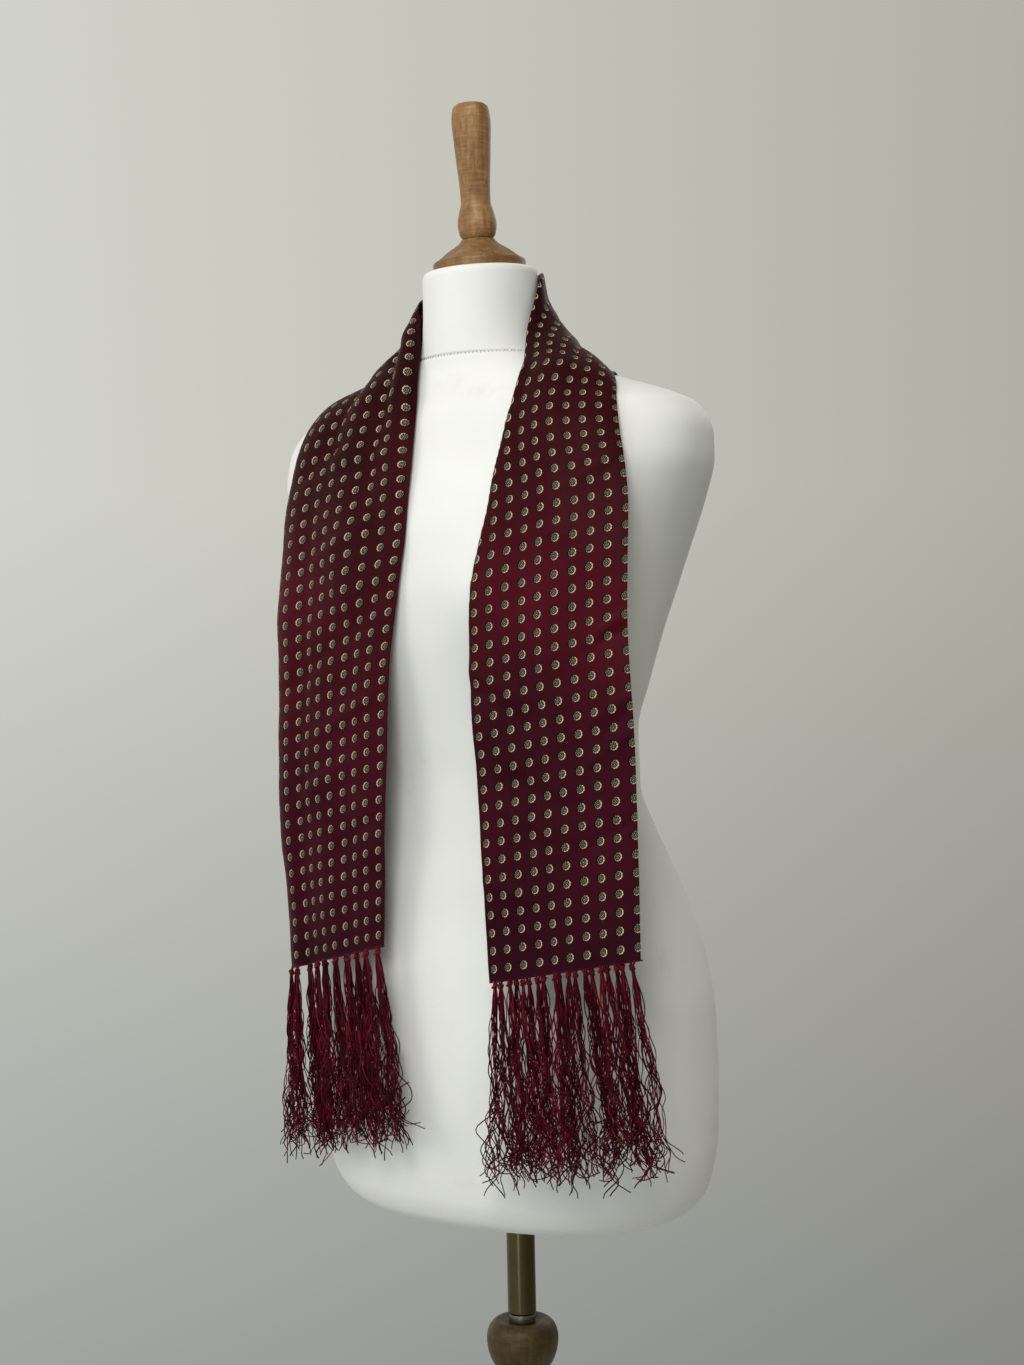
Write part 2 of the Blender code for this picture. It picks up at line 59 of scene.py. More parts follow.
# The room's light from the camera's left to its right, and its share from below to level.
ROOM_ACROSS = (
    (0.72, 0.74, 0.69),
    (0.69, 0.70, 0.64),
    (0.555, 0.55, 0.49),
    (0.385, 0.370, 0.32),
    (0.26, 0.255, 0.23),
)
ROOM_UP = ((0.43, 0.46, 0.50), (1.0, 1.0, 1.0))

# The form, as sections from its foot to the top of its neck.
FORM_COLUMNS = ("height", "half_width", "front", "back", "square")
FORM_SECTIONS = (
    (0.7965, 0.118, 0.076, 0.073, 2.15),
    (0.8000, 0.139, 0.093, 0.090, 2.15),
    (0.8090, 0.1535, 0.104, 0.101, 2.15),
    (0.8250, 0.1635, 0.111, 0.108, 2.15),
    (0.8600, 0.1705, 0.116, 0.114, 2.15),
    (0.9070, 0.1720, 0.120, 0.118, 2.10),
    (0.9600, 0.1715, 0.121, 0.116, 2.10),
    (1.0100, 0.1650, 0.119, 0.108, 2.05),
    (1.0600, 0.1510, 0.115, 0.094, 2.00),
    (1.1000, 0.1340, 0.110, 0.080, 2.00),
    (1.1400, 0.1210, 0.109, 0.071, 2.00),
    (1.1800, 0.1210, 0.113, 0.071, 2.00),
    (1.2200, 0.1310, 0.119, 0.078, 2.05),
    (1.2600, 0.1420, 0.124, 0.087, 2.10),
    (1.3000, 0.1550, 0.127, 0.094, 2.20),
    (1.3350, 0.1690, 0.126, 0.092, 2.30),
    (1.3650, 0.1810, 0.120, 0.084, 2.45),
    (1.3900, 0.1890, 0.110, 0.074, 2.55),
    (1.4100, 0.1900, 0.101, 0.067, 2.50),
    (1.4300, 0.1805, 0.093, 0.061, 2.40),
    (1.4415, 0.1590, 0.087, 0.056, 2.20),
    (1.4520, 0.1290, 0.083, 0.051, 2.10),
    (1.4620, 0.0985, 0.0795, 0.044, 2.00),
    (1.4715, 0.0700, 0.077, 0.031, 2.00),
    (1.4840, 0.0520, 0.0765, 0.020, 2.00),
    (1.5000, 0.0475, 0.0765, 0.0175, 2.00),
    (1.5200, 0.0462, 0.0762, 0.0162, 2.00),
    (1.5440, 0.0462, 0.0762, 0.0162, 2.00),
    (1.5485, 0.0452, 0.0752, 0.0152, 2.00),
    (1.5500, 0.0430, 0.0730, 0.0130, 2.00),
)
BUST_OUT = 0.072
BUST_HEIGHT = 1.285
BUST_REACH = 0.020
BUST_WIDE = 0.048
BUST_TALL = 0.055
NECK_TOP = 1.5500
NECK_CENTRE_Y = -0.030
NECK_LEAN = math.radians(4.0)
LEAN_FROM = 1.455
LEAN_OVER = 0.040
NECK_SEAM = 1.4795
SEAM_GROOVE = 1.3 * MM
SEAM_WIDTH = 1.2 * MM
TORSO_SIDES = 160
STITCHES = 110
PLACES_PER_STITCH = 16
STITCH_RADIUS = 0.24 * MM
STITCH_SIDES = 5

# The turned cap and handle: radius against height above the neck's top, on the neck's leaning axis.
CAP_PROFILE = (
    (0.0003, 0.0370),
    (0.0068, 0.0372),
    (0.0080, 0.0362),
    (0.0090, 0.0342),
    (0.0155, 0.0258),
    (0.0230, 0.0150),
    (0.0251, 0.0136),
)
HANDLE_FOOT = 0.0256
HANDLE_PROFILE = (
    (0.0000, 0.0118),
    (0.0040, 0.0144),
    (0.0120, 0.0157),
    (0.0215, 0.0140),
    (0.0295, 0.0120),
    (0.0380, 0.0121),
    (0.0570, 0.0134),
    (0.0770, 0.0148),
    (0.0930, 0.0157),
    (0.1000, 0.0151),
    (0.1045, 0.0138),
    (0.1065, 0.0115),
)
BASE_PROFILE = (
    (0.0000, 0.1780),
    (0.0030, 0.1796),
    (0.0150, 0.1800),
    (0.0195, 0.1780),
    (0.0225, 0.1745),
    (0.0240, 0.1700),
)
STEM_PROFILE = (
    (0.0243, 0.0440),
    (0.0325, 0.0440),
    (0.0520, 0.0420),
    (0.0700, 0.0330),
    (0.0820, 0.0215),
    (0.0920, 0.0215),
    (0.1300, 0.0300),
    (0.1900, 0.0325),
    (0.2700, 0.0290),
    (0.4000, 0.0225),
    (0.5200, 0.0170),
    (0.6050, 0.0150),
    (0.6320, 0.0185),
    (0.6400, 0.0225),
    (0.6470, 0.0215),
    (0.6520, 0.0175),
    (0.6580, 0.0165),
    (0.6640, 0.0222),
    (0.6710, 0.0262),
    (0.6790, 0.0285),
    (0.6870, 0.0292),
    (0.6935, 0.0280),
    (0.6985, 0.0250),
    (0.7012, 0.0205),
    (0.7008, 0.0165),
    (0.6990, 0.0125),
)
COLLAR_PROFILE = (
    (0.6993, 0.0100),
    (0.6996, 0.0108),
    (0.7030, 0.0109),
    (0.7060, 0.0107),
    (0.7063, 0.0100),
)
POLE_PROFILE = (
    (0.7066, 0.0112),
    (0.7070, 0.0116),
    (0.7500, 0.0116),
    (0.7958, 0.0116),
    (0.7962, 0.0113),
)

# The scarf: a tube of silk laid flat, in mm. Each row is a weft line of the cloth, from the nape to a hem.
CLOTH_WIDTH = 134.0
PITCH_ACROSS = 13.95
PITCH_ALONG = 13.11
ALONG_START = 100.318
FOLD_ROUND = 1.4
FOLD_GAP = 0.95
MOTIF_HEADING = (0.93, 0.37)
CLEAR_OF_FORM = 1.9
LAYER = 0.55
ALONG_STEP = 2.4
ACROSS_STEP = 1.9
SEAM_LAP = 5.0
ROW_COLUMNS = ("in_out", "in_back", "in_up", "out_out", "out_back", "out_up", "bow", "tuck")
NAPE_ROW = (0, 24, 1550, 0, 55, 1453, -7, 30)
LEFT_ROWS = (
    (20, 20, 1551, 45, 52, 1452, -10, 32),
    (34, 10, 1550, 75, 42, 1451, -12, 34),
    (45, -11, 1541, 93, 23, 1453, -9, 35),
    (48, -27, 1518, 109, -6, 1453, 1, 35),
    (52, -43, 1495, 122, -30, 1453, 7, 35),
    (60, -60, 1474, 133, -47, 1449, 10, 35),
    (69, -79, 1458, 141, -59, 1441, 10, 35),
    (68.5, -92, 1433, 148, -71, 1429, 9, 34),
    (67, -101, 1412, 155, -81, 1416, 9, 30),
    (67, -113, 1384, 161, -88, 1397, 9, 22),
    (67.5, -124, 1357, 168, -95, 1378, 8, 13),
    (64, -134, 1325, 174, -102, 1346, 7, 6),
    (59.5, -141, 1288, 176, -108, 1311, 7, 2),
    (58, -142, 1245, 177, -112, 1268, 6, 0),
    (63, -142, 1150, 186, -121, 1172, 5, 0),
    (69, -140, 1000, 193, -131, 1023, 4, 0),
)
RIGHT_ROWS = (
    (20, 20, 1548, 44, 52, 1453, -8, 26),
    (37, 8, 1546, 73, 43, 1453, -10, 20),
    (46, -14, 1542, 95, 26, 1455, -12, 14),
    (47, -32, 1535, 111, 6, 1457, -12, 8),
    (45, -45, 1524, 121, -13, 1458, -12, 4),
    (41, -55, 1511, 127, -30, 1455, -10, 0),
    (36, -63, 1497, 131, -46, 1450, -7, 0),
    (31, -72, 1480, 134, -60, 1445, -2, 0),
    (24, -85, 1461, 138, -70, 1437, 2, 0),
    (19, -95, 1435, 143, -80, 1424, 4, 0),
    (14, -107, 1407, 150, -87, 1394, 5, 0),
    (8, -121, 1373, 153, -97, 1352, 5, 0),
    (6, -131, 1335, 149, -107, 1312, 5, 0),
    (10, -136, 1291, 147, -114, 1267, 5, 0),
    (18, -137.5, 1240, 146, -116, 1215, 4, 0),
    (23, -138.5, 1160, 148, -115, 1134, 4, 0),
    (28.5, -138.5, 1021, 148, -103, 992, 3, 0),
)

# The long soft folds at each height of a row's inner edge: where the valleys between the lobes lie across
# the cloth, how far each lobe stands up, and how sharp the valleys are.
FOLD_COLUMNS = ("height", "valley_1", "valley_2", "lift_1", "lift_2", "lift_3", "sharp")
LEFT_FOLDS = (
    (1000, 52, 96, 1.0, 1.5, 1.0, 0.0),
    (1200, 50, 94, 1.5, 2.0, 1.0, 0.0),
    (1350, 46, 92, 2.0, 2.5, 1.0, 0.2),
    (1450, 44, 90, 3.0, 3.0, 1.0, 0.5),
    (1500, 46, 90, 4.0, 3.0, 1.5, 1.0),
    (1530, 48, 90, 4.5, 2.0, 1.0, 1.0),
    (1549, 50, 90, 2.0, 1.0, 0.5, 0.4),
)
RIGHT_FOLDS = (
    (1021, 44, 104, 1.0, 2.5, 4.0, 0.2),
    (1200, 44, 102, 1.5, 3.0, 4.0, 0.4),
    (1340, 40, 98, 2.5, 4.0, 4.0, 0.6),
    (1400, 35, 91, 6.0, 6.0, 4.0, 0.9),
    (1460, 29, 75, 10.0, 8.0, 5.0, 1.0),
    (1500, 27, 70, 11.0, 9.0, 6.0, 1.0),
    (1524, 27, 68, 8.0, 8.0, 5.5, 0.9),
    (1536, 28, 68, 3.0, 6.0, 4.0, 0.8),
    (1549, 30, 74, 1.0, 3.0, 2.0, 0.3),
)

# Soft creases, in mm: where each starts and where it ends, as a run from the nape (to the left hem
# positive, to the right hem negative) and a distance across from the inner edge, then its half width and
# its height.
CREASES = (
    (262, 134, 292, 86, 5.0, 1.8),
    (276, 134, 306, 92, 4.0, -1.7),
    (318, 40, 330, 92, 6.0, 1.3),
    (395, 134, 408, 104, 4.0, 1.7),
    (404, 134, 418, 98, 4.0, -1.8),
    (410, 2, 446, 52, 6.0, 2.0),
    (424, 2, 462, 46, 5.0, -1.8),
    (452, 134, 470, 96, 4.5, 1.8),
    (462, 134, 482, 104, 4.0, -1.5),
    (478, 134, 500, 90, 4.0, 1.5),
    (492, 20, 528, 80, 7.0, -1.8),
    (508, 10, 544, 66, 6.0, 1.7),
    (540, 134, 560, 84, 5.0, -1.3),
    (566, 0, 590, 52, 5.0, 1.3),
    (-150, 10, -176, 70, 7.0, 1.7),
    (-214, 12, -204, 60, 6.0, 1.4),
    (-236, 66, -262, 118, 6.0, -2.0),
    (-262, 14, -250, 78, 7.0, 2.2),
    (-278, 10, -268, 70, 6.0, -1.7),
    (-318, 30, -338, 96, 7.0, 1.5),
    (-352, 0, -372, 44, 5.0, 1.3),
    (-404, 52, -430, 120, 7.0, -1.5),
    (-452, 8, -470, 70, 6.0, 1.4),
    (-500, 40, -522, 110, 7.0, 1.5),
    (-548, 6, -566, 60, 6.0, -1.3),
    (-40, 40, -84, 66, 6.0, 1.8),
    (30, 46, 78, 70, 6.0, 1.7),
    (-14, 84, 26, 100, 7.0, -2.0),
    (60, 100, 112, 84, 6.0, 1.5),
    (-66, 104, -118, 90, 6.0, -1.7),
)

# The fringe, in mm. Its table says how wide a tassel is at each distance below its knot, and how far its
# threads wander. A back tassel hangs BACK_TASSEL_SHIFT of the spacing aside of a front one.
TASSELS = 10
BACK_TASSEL_SHIFT = 0.28
STRANDS = 17
STRAND_RADIUS = 0.52
STRAND_TIP = 0.46
STRAND_SIDES = 4
STRAND_STEPS = 54
KNOT_DROP = 3.3
KNOT_OUT = 1.3
FRINGE_LENGTH = 149.0
FRINGE_SPREAD = 0.16
HEM_CORD_RADIUS = 0.55
HEM_CORD_PLACES = 150
TASSEL_COLUMNS = ("down", "width", "wander")
TASSEL_SHAPE = (
    (0, 0.7, 0.0),
    (4, 1.2, 0.1),
    (12, 2.4, 0.35),
    (30, 2.9, 0.7),
    (50, 3.3, 1.0),
    (78, 4.6, 1.4),
    (112, 6.2, 1.8),
    (165, 7.0, 2.6),
)


def smooth_through(stations, values, at):
    """Values at these places on a smooth curve through the stations, which doesn't overshoot them."""
    stations = np.asarray(stations, float)
    values = np.asarray(values, float)
    at = np.clip(at, stations[0], stations[-1])
    gap = np.diff(stations)
    slope = np.diff(values) / gap
    tangent = np.empty_like(values)
    tangent[0], tangent[-1] = slope[0], slope[-1]
    same_way = slope[:-1] * slope[1:] > 0
    with np.errstate(divide="ignore", invalid="ignore"):
        mean = 2 * slope[:-1] * slope[1:] / (slope[:-1] + slope[1:])
    tangent[1:-1] = np.where(same_way, mean, 0.0)
    i = np.clip(np.searchsorted(stations, at, side="right") - 1, 0, len(gap) - 1)
    t = (at - stations[i]) / gap[i]
    start = values[i] * (1 + 2 * t) + tangent[i] * gap[i] * t
    end = values[i + 1] * (3 - 2 * t) - tangent[i + 1] * gap[i] * (1 - t)
    return start * (1 - t) ** 2 + end * t**2


def column(name, names, table):
    return np.array([row[names.index(name)] for row in table], float)


def columns_at(names, table, at):
    """Every column after the first, read off smoothly at these values of the first."""
    stations = column(names[0], names, table)
    return [smooth_through(stations, column(name, names, table), at) for name in names[1:]]


def smoothstep(t):
    t = np.clip(t, 0, 1)
    return t * t * (3 - 2 * t)


# Meshes


def object_from(name, points, faces):
    mesh = bpy.data.meshes.new(name)
    mesh.from_pydata([tuple(p) for p in points], [], faces)
    mesh.shade_smooth()
    made = bpy.data.objects.new(name, mesh)
    bpy.context.scene.collection.objects.link(made)
    return made


def grid_faces(rows, columns, closed=False):
    """Quads over a grid of points; closed joins its last column to its first."""
    i, j = np.meshgrid(np.arange(rows - 1), np.arange(columns if closed else columns - 1), indexing="ij")
    k = (j + 1) % columns
    here, ahead = i * columns, (i + 1) * columns
    return np.stack([here + j, here + k, ahead + k, ahead + j], axis=-1).reshape(-1, 4).tolist()


def add_uv(obj, name, values):
    """A UV map with this value at each point of the mesh."""
    layer = obj.data.uv_layers.new(name=name)
    loops = np.empty(len(obj.data.loops), int)
    obj.data.loops.foreach_get("vertex_index", loops)
    layer.data.foreach_set("uv", np.asarray(values, float)[loops].ravel())


def turned(name, profile, finish, node, sides=112, step=0.0012, lean=False, ripple=0.0):
    """A turned piece on its axis, with fine tool marks, from (height, radius) rows."""
    heights = np.array([row[0] for row in profile])
    radii = np.array([row[1] for row in profile])
    lengths = np.concatenate([[0], np.cumsum(np.hypot(np.diff(heights), np.diff(radii)))])
    at = np.linspace(0, lengths[-1], max(24, int(lengths[-1] / step)))
    height = smooth_through(lengths, heights, at)
    radius = smooth_through(lengths, radii, at)
    radius = radius + ripple * np.sin(at * 2400) * np.sin(at * 910)
    turn = np.linspace(0, 2 * math.pi, sides, endpoint=False)
    x, y = radius[:, None] * np.cos(turn), radius[:, None] * np.sin(turn)
    rings = np.stack([x, y, np.repeat(height[:, None], sides, axis=1)], axis=-1)
    points = [*rings.reshape(-1, 3), (0, 0, height[0]), (0, 0, height[-1])]
    faces = grid_faces(len(at), sides, closed=True)
    foot, top = len(points) - 2, len(points) - 1
    last = (len(at) - 1) * sides
    for i in range(sides):
        k = (i + 1) % sides
        faces.append((foot, k, i))
        faces.append((top, last + i, last + k))
    made = object_from(name, points, faces)
    if lean:
        axis = Matrix.Translation((0, NECK_CENTRE_Y, NECK_TOP)) @ Matrix.Rotation(NECK_LEAN, 4, "X")
        made.data.transform(axis)
    made.data.materials.append(finish)
    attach(made, "root")
    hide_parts(node)
    return made


# The form


def bust(x, z):
    level = np.exp(-(((z - BUST_HEIGHT) / BUST_TALL) ** 2))
    left = np.exp(-(((x - BUST_OUT) / BUST_WIDE) ** 2))
    right = np.exp(-(((x + BUST_OUT) / BUST_WIDE) ** 2))
    return BUST_REACH * level * (left + right)


def form_ring(z, sides):
    """The form's outline at this height, whose plane leans forward with the neck above the shoulders."""
    half, front, back, square = columns_at(FORM_COLUMNS, FORM_SECTIONS, z)
    groove = SEAM_GROOVE * math.exp(-(((z - NECK_SEAM) / SEAM_WIDTH) ** 2))
    half, front, back = half - groove, front - groove, back - groove
    turn = np.linspace(0, 2 * math.pi, sides, endpoint=False)
    across, along = np.cos(turn), np.sin(turn)
    x = half * np.sign(across) * np.abs(across) ** (2 / square)
    y = (back - front) / 2 + (back + front) / 2 * np.sign(along) * np.abs(along) ** (2 / square)
    y -= bust(x, z) * np.clip(-along, 0, 1)
    lean = np.clip((z - LEAN_FROM) / LEAN_OVER, 0, 1) * math.tan(NECK_LEAN)
    return np.stack([x, y, z + (y - NECK_CENTRE_Y) * lean], axis=1)


def make_torso(finish):
    heights = np.concatenate([
        np.linspace(0.7965, 0.83, 16),
        np.arange(0.836, 1.42, 0.006),
        np.arange(1.42, 1.474, 0.002),
        np.arange(1.4745, 1.4860, 0.0006),
        np.arange(1.487, 1.541, 0.003),
        np.linspace(1.542, 1.5500, 14),
    ])
    rings = np.array([form_ring(z, TORSO_SIDES) for z in heights])
    points = [*rings.reshape(-1, 3), rings[0].mean(axis=0) - (0, 0, 0.0006), rings[-1].mean(axis=0)]
    faces = grid_faces(len(heights), TORSO_SIDES, closed=True)
    last = (len(heights) - 1) * TORSO_SIDES
    for i in range(TORSO_SIDES):
        k = (i + 1) % TORSO_SIDES
        faces.append((len(points) - 2, k, i))
        faces.append((len(points) - 1, last + i, last + k))
    made = object_from("torso_jersey", points, faces)
    made.data.materials.append(finish)
    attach(made, "root")
    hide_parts("torso")
    return made


def make_neck_stitches(finish):
    """The stitches of the jersey's neck seam, small slanting threads across its groove."""
    ring = form_ring(NECK_SEAM, STITCHES * PLACES_PER_STITCH)
    points, faces = [], []
    for i in range(STITCHES):
        middle = ring[i * PLACES_PER_STITCH]
        ahead = ring[i * PLACES_PER_STITCH + PLACES_PER_STITCH // 2] - middle
        ahead = ahead / np.linalg.norm(ahead)
        out = np.array((middle[0], middle[1] - NECK_CENTRE_Y, 0.0))
        out = out / np.linalg.norm(out)
        slant = ahead * 0.55 + np.array((0, 0, 0.83)) * (1 if i % 2 else -1)
        path = [middle + out * bulge * MM + slant * along * MM for along, bulge in
                ((-1.25, 0.1), (-0.8, 0.55), (0.0, 0.75), (0.8, 0.55), (1.25, 0.1))]
        tube_points, tube_faces = tube(np.array(path), STITCH_RADIUS, STITCH_SIDES)
        faces += [[len(points) + corner for corner in face] for face in tube_faces]
        points += list(tube_points)
    made = object_from("neck_seam_stitches", points, faces)
    made.data.materials.append(finish)
    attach(made, "root")
    return made


# The cloth


def edge_of(rows, edge):
    return np.stack([rows[f"{edge}_{way}"] for way in ("out", "back", "up")], axis=1)


def all_rows():
    """The rows from the right hem over the nape to the left hem, and each one's run from the nape."""
    table = (*RIGHT_ROWS[::-1], NAPE_ROW, *LEFT_ROWS)
    rows = {name: column(name, ROW_COLUMNS, table) for name in ROW_COLUMNS}
    side = np.where(np.arange(len(table)) < len(RIGHT_ROWS), -1, 1)
    rows["in_out"] *= side
    rows["out_out"] *= side
    steps = [np.linalg.norm(np.diff(edge_of(rows, edge), axis=0), axis=1) for edge in ("in", "out")]
    run = np.concatenate([[0], np.cumsum(np.mean(steps, axis=0))])
    return rows, run - run[len(RIGHT_ROWS)]


def lobes(across, height, left):
    """How far the long soft folds lift the cloth, at these places across it, in mm."""
    table = LEFT_FOLDS if left else RIGHT_FOLDS
    valley_1, valley_2, lift_1, lift_2, lift_3, sharp = columns_at(FOLD_COLUMNS, table, height)
    valleys = (0.0, valley_1, valley_2, CLOTH_WIDTH)
    lift = np.zeros_like(across)
    for start, end, high in zip(valleys, valleys[1:], (lift_1, lift_2, lift_3)):
        part = (across - start) / (end - start)
        inside = (part >= 0) & (part <= 1)
        round_top = np.sin(math.pi * np.clip(part, 0, 1))
        lift[inside] += high * (round_top ** (1.0 - 0.45 * sharp))[inside]
    return lift


def creases(run, across):
    """The height of the soft creases at this run and these places across, in mm."""
    height = np.zeros_like(across)
    for run_1, across_1, run_2, across_2, half_width, high in CREASES:
        length = math.hypot(run_2 - run_1, across_2 - across_1)
        ahead = np.array((run_2 - run_1, across_2 - across_1)) / length
        away = (run - run_1) * ahead[0] + (across - across_1) * ahead[1]
        aside = (run - run_1) * ahead[1] - (across - across_1) * ahead[0]
        ends = smoothstep((away + 12) / 24) * smoothstep((length + 12 - away) / 24)
        height += high * ends * np.exp(-((aside / half_width) ** 2))
    return height


def ripples(run, across):
    """Slight unevenness of the hanging silk, in mm."""
    return (
        0.45 * np.sin(run / 23.0 + across / 31.0 + 0.7)
        + 0.35 * np.sin(run / 14.5 - across / 19.0 + 2.1)
        + 0.28 * np.sin(across / 8.5 + 1.6 * np.sin(run / 61.0))
        + 0.18 * np.sin(run / 7.1 + across / 13.0)
    )


def surface_normals(points):
    """The unit normal of a grid of points, turned away from the form."""
    normal = np.cross(np.gradient(points, axis=0), np.gradient(points, axis=1))
    return normal / np.maximum(np.linalg.norm(normal, axis=2, keepdims=True), 1e-12)


def pushed_clear(points, form, clear):
    """The points moved straight out of the form wherever they are nearer to it than this."""
    moved = points.copy()
    for index in np.ndindex(points.shape[:2]):
        place = Vector(points[index])
        near, normal, _, _ = form.find_nearest(place)
        short = clear - (place - near).dot(normal)
        if short > 0:
            moved[index] += np.array(normal) * short
    return moved


def eased(points, times=1):
    """The grid with each inner point drawn halfway to the mean of its neighbours."""
    for _ in range(times):
        mean = (points[:-2, 1:-1] + points[2:, 1:-1] + points[1:-1, :-2] + points[1:-1, 2:]) / 4
        points = points.copy()
        points[1:-1, 1:-1] = (points[1:-1, 1:-1] + mean) / 2
    return points


def cloth_middle(runs, shares, form):
    """The middle of the doubled cloth at these runs and shares of its width, and each row's tuck."""
    rows, stations = all_rows()
    rows = {name: smooth_through(stations, values, runs) for name, values in rows.items()}
    inner, outer = (edge_of(rows, edge)[:, None] for edge in ("in", "out"))
    flat = (inner + (outer - inner) * shares[None, :, None]) * MM
    broad = np.zeros(flat.shape[:2])
    fine = np.zeros(flat.shape[:2])
    for i, run in enumerate(runs):
        across = rows["tuck"][i] + (CLOTH_WIDTH - rows["tuck"][i]) * shares
        broad[i] = rows["bow"][i] * 4 * shares * (1 - shares) + lobes(across, rows["in_up"][i], run > 0)
        fine[i] = creases(run, across) + ripples(run, across)
    points = flat + surface_normals(flat) * broad[:, :, None] * MM
    for _ in range(3):
        points = eased(pushed_clear(points, form, CLEAR_OF_FORM * MM), 3)
    points = points + surface_normals(points) * fine[:, :, None] * MM
    return eased(pushed_clear(points, form, CLEAR_OF_FORM * MM), 1), rows["tuck"]


def ring_profile():
    """The tube's way round, from its back seam over both edges: the distance across, and the layer."""
    half = CLOTH_WIDTH / 2
    edge = np.array((0.0, 0.10, 0.35, 0.8, 1.5, 2.6))
    count = int((CLOTH_WIDTH - 2 * edge[-1]) / ACROSS_STEP)
    body = np.linspace(edge[-1], CLOTH_WIDTH - edge[-1], count + 1)[1:-1]
    front = np.concatenate([edge, body, CLOTH_WIDTH - edge[::-1]])
    inner_back = front[front < half + SEAM_LAP / 2][::-1]
    outer_back = front[front > half - SEAM_LAP / 2][::-1]
    across = np.concatenate([inner_back, front[1:-1], outer_back])
    layer = np.concatenate([-np.ones(len(inner_back)), np.ones(len(front) - 2), -np.ones(len(outer_back))])
    under = np.zeros(len(across))
    under[: len(inner_back)] = smoothstep((inner_back - half + SEAM_LAP) / SEAM_LAP)
    return across, layer, under


def layer_rise(across):
    """Half the tube's thickness, which closes to nothing at both edges, in mm."""
    edge = np.minimum(across, CLOTH_WIDTH - across)
    part = np.clip(edge / 0.9, 0, 1)
    return LAYER * np.sqrt(1 - (1 - part) ** 2)


def make_scarf(form, finish):
    """The whole tube, open at both hems and along the seam in its back layer."""
    _, stations = all_rows()
    runs = np.linspace(stations[0], stations[-1], int((stations[-1] - stations[0]) / ALONG_STEP) + 1)
    shares = np.linspace(0, 1, 75)
    middle, tucks = cloth_middle(runs, shares, form)
    normals = surface_normals(middle)
    across, layer, under = ring_profile()
    points = np.empty((len(runs), len(across), 3))
    for i, tuck in enumerate(tucks):
        from_fold = across - tuck
        along = np.sqrt(from_fold**2 + FOLD_ROUND**2) - FOLD_ROUND
        gap = 0.1 + FOLD_GAP * np.clip(tuck / 8, 0, 1)
        stack = gap * np.tanh(from_fold / 1.8)
        drop = gap - 0.1
        slope = gap / 1.8 / np.cosh(np.clip(from_fold / 1.8, -20, 20)) ** 2
        tangent = np.stack([from_fold / np.sqrt(from_fold**2 + FOLD_ROUND**2), slope], axis=1)
        tangent /= np.maximum(np.linalg.norm(tangent, axis=1, keepdims=True), 1e-9)
        offset = layer * layer_rise(across) + under * 0.35
        place = along - tangent[:, 1] * offset
        level = stack - drop + tangent[:, 0] * offset
        share = place / (CLOTH_WIDTH - tuck)
        base = sampled(middle[i], shares, share)
        normal = sampled(normals[i], shares, np.clip(share, 0, 1))
        points[i] = base + normal * level[:, None] * MM
    made = object_from("scarf_silk", points.reshape(-1, 3), grid_faces(*points.shape[:2]))
    round_it = np.cumsum(np.concatenate([[0], np.abs(np.diff(across))]))
    uv = np.stack(np.broadcast_arrays(across[None, :] * MM, runs[:, None] * MM), axis=-1)
    add_uv(made, "cloth", uv.reshape(-1, 2))
    made.data.materials.append(finish)
    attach(made, "root")
    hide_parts("scarf_neck", "scarf_left_front", "scarf_right_front")
    cut = (round_it[-1] * MM, (runs[-1] - runs[0]) * MM)
    return made, cut, middle, normals


def sampled(row, shares, at):
    """A row of points read at these shares, carried straight on past its ends."""
    step = shares[1] - shares[0]
    i = np.clip((at / step).astype(int), 0, len(shares) - 2)
    t = (at / step - i)[:, None]
    return row[i] * (1 - t) + row[i + 1] * t


# The fringe


def tube(path, radius, sides=STRAND_SIDES):
    """A tube along a path, with a radius for the whole of it or for each point: points and faces."""
    ahead = np.gradient(path, axis=0)
    ahead /= np.maximum(np.linalg.norm(ahead, axis=1, keepdims=True), 1e-12)
    side = np.cross(ahead, (0.31, 0.87, 0.38))
    side /= np.maximum(np.linalg.norm(side, axis=1, keepdims=True), 1e-12)
    other = np.cross(ahead, side)
    turn = np.linspace(0, 2 * math.pi, sides, endpoint=False)
    radius = np.broadcast_to(radius, len(path))[:, None, None]
    ring = side[:, None] * np.cos(turn)[None, :, None] + other[:, None] * np.sin(turn)[None, :, None]
    points = (path[:, None] + ring * radius).reshape(-1, 3)
    faces = grid_faces(len(path), sides, closed=True)
    faces.append(list(range(sides))[::-1])
    last = (len(path) - 1) * sides
    faces.append([last + i for i in range(sides)])
    return points, faces


def wander(random, down, waves):
    """A sum of slow waves, one for each (shortest, longest, height) in mm."""
    total = np.zeros_like(down)
    for shortest, longest, high in waves:
        length = random.uniform(shortest, longest)
        share = high * random.uniform(0.6, 1.3)
        total += share * np.sin(2 * math.pi * (down / length + random.uniform(0, 1)))
    return total


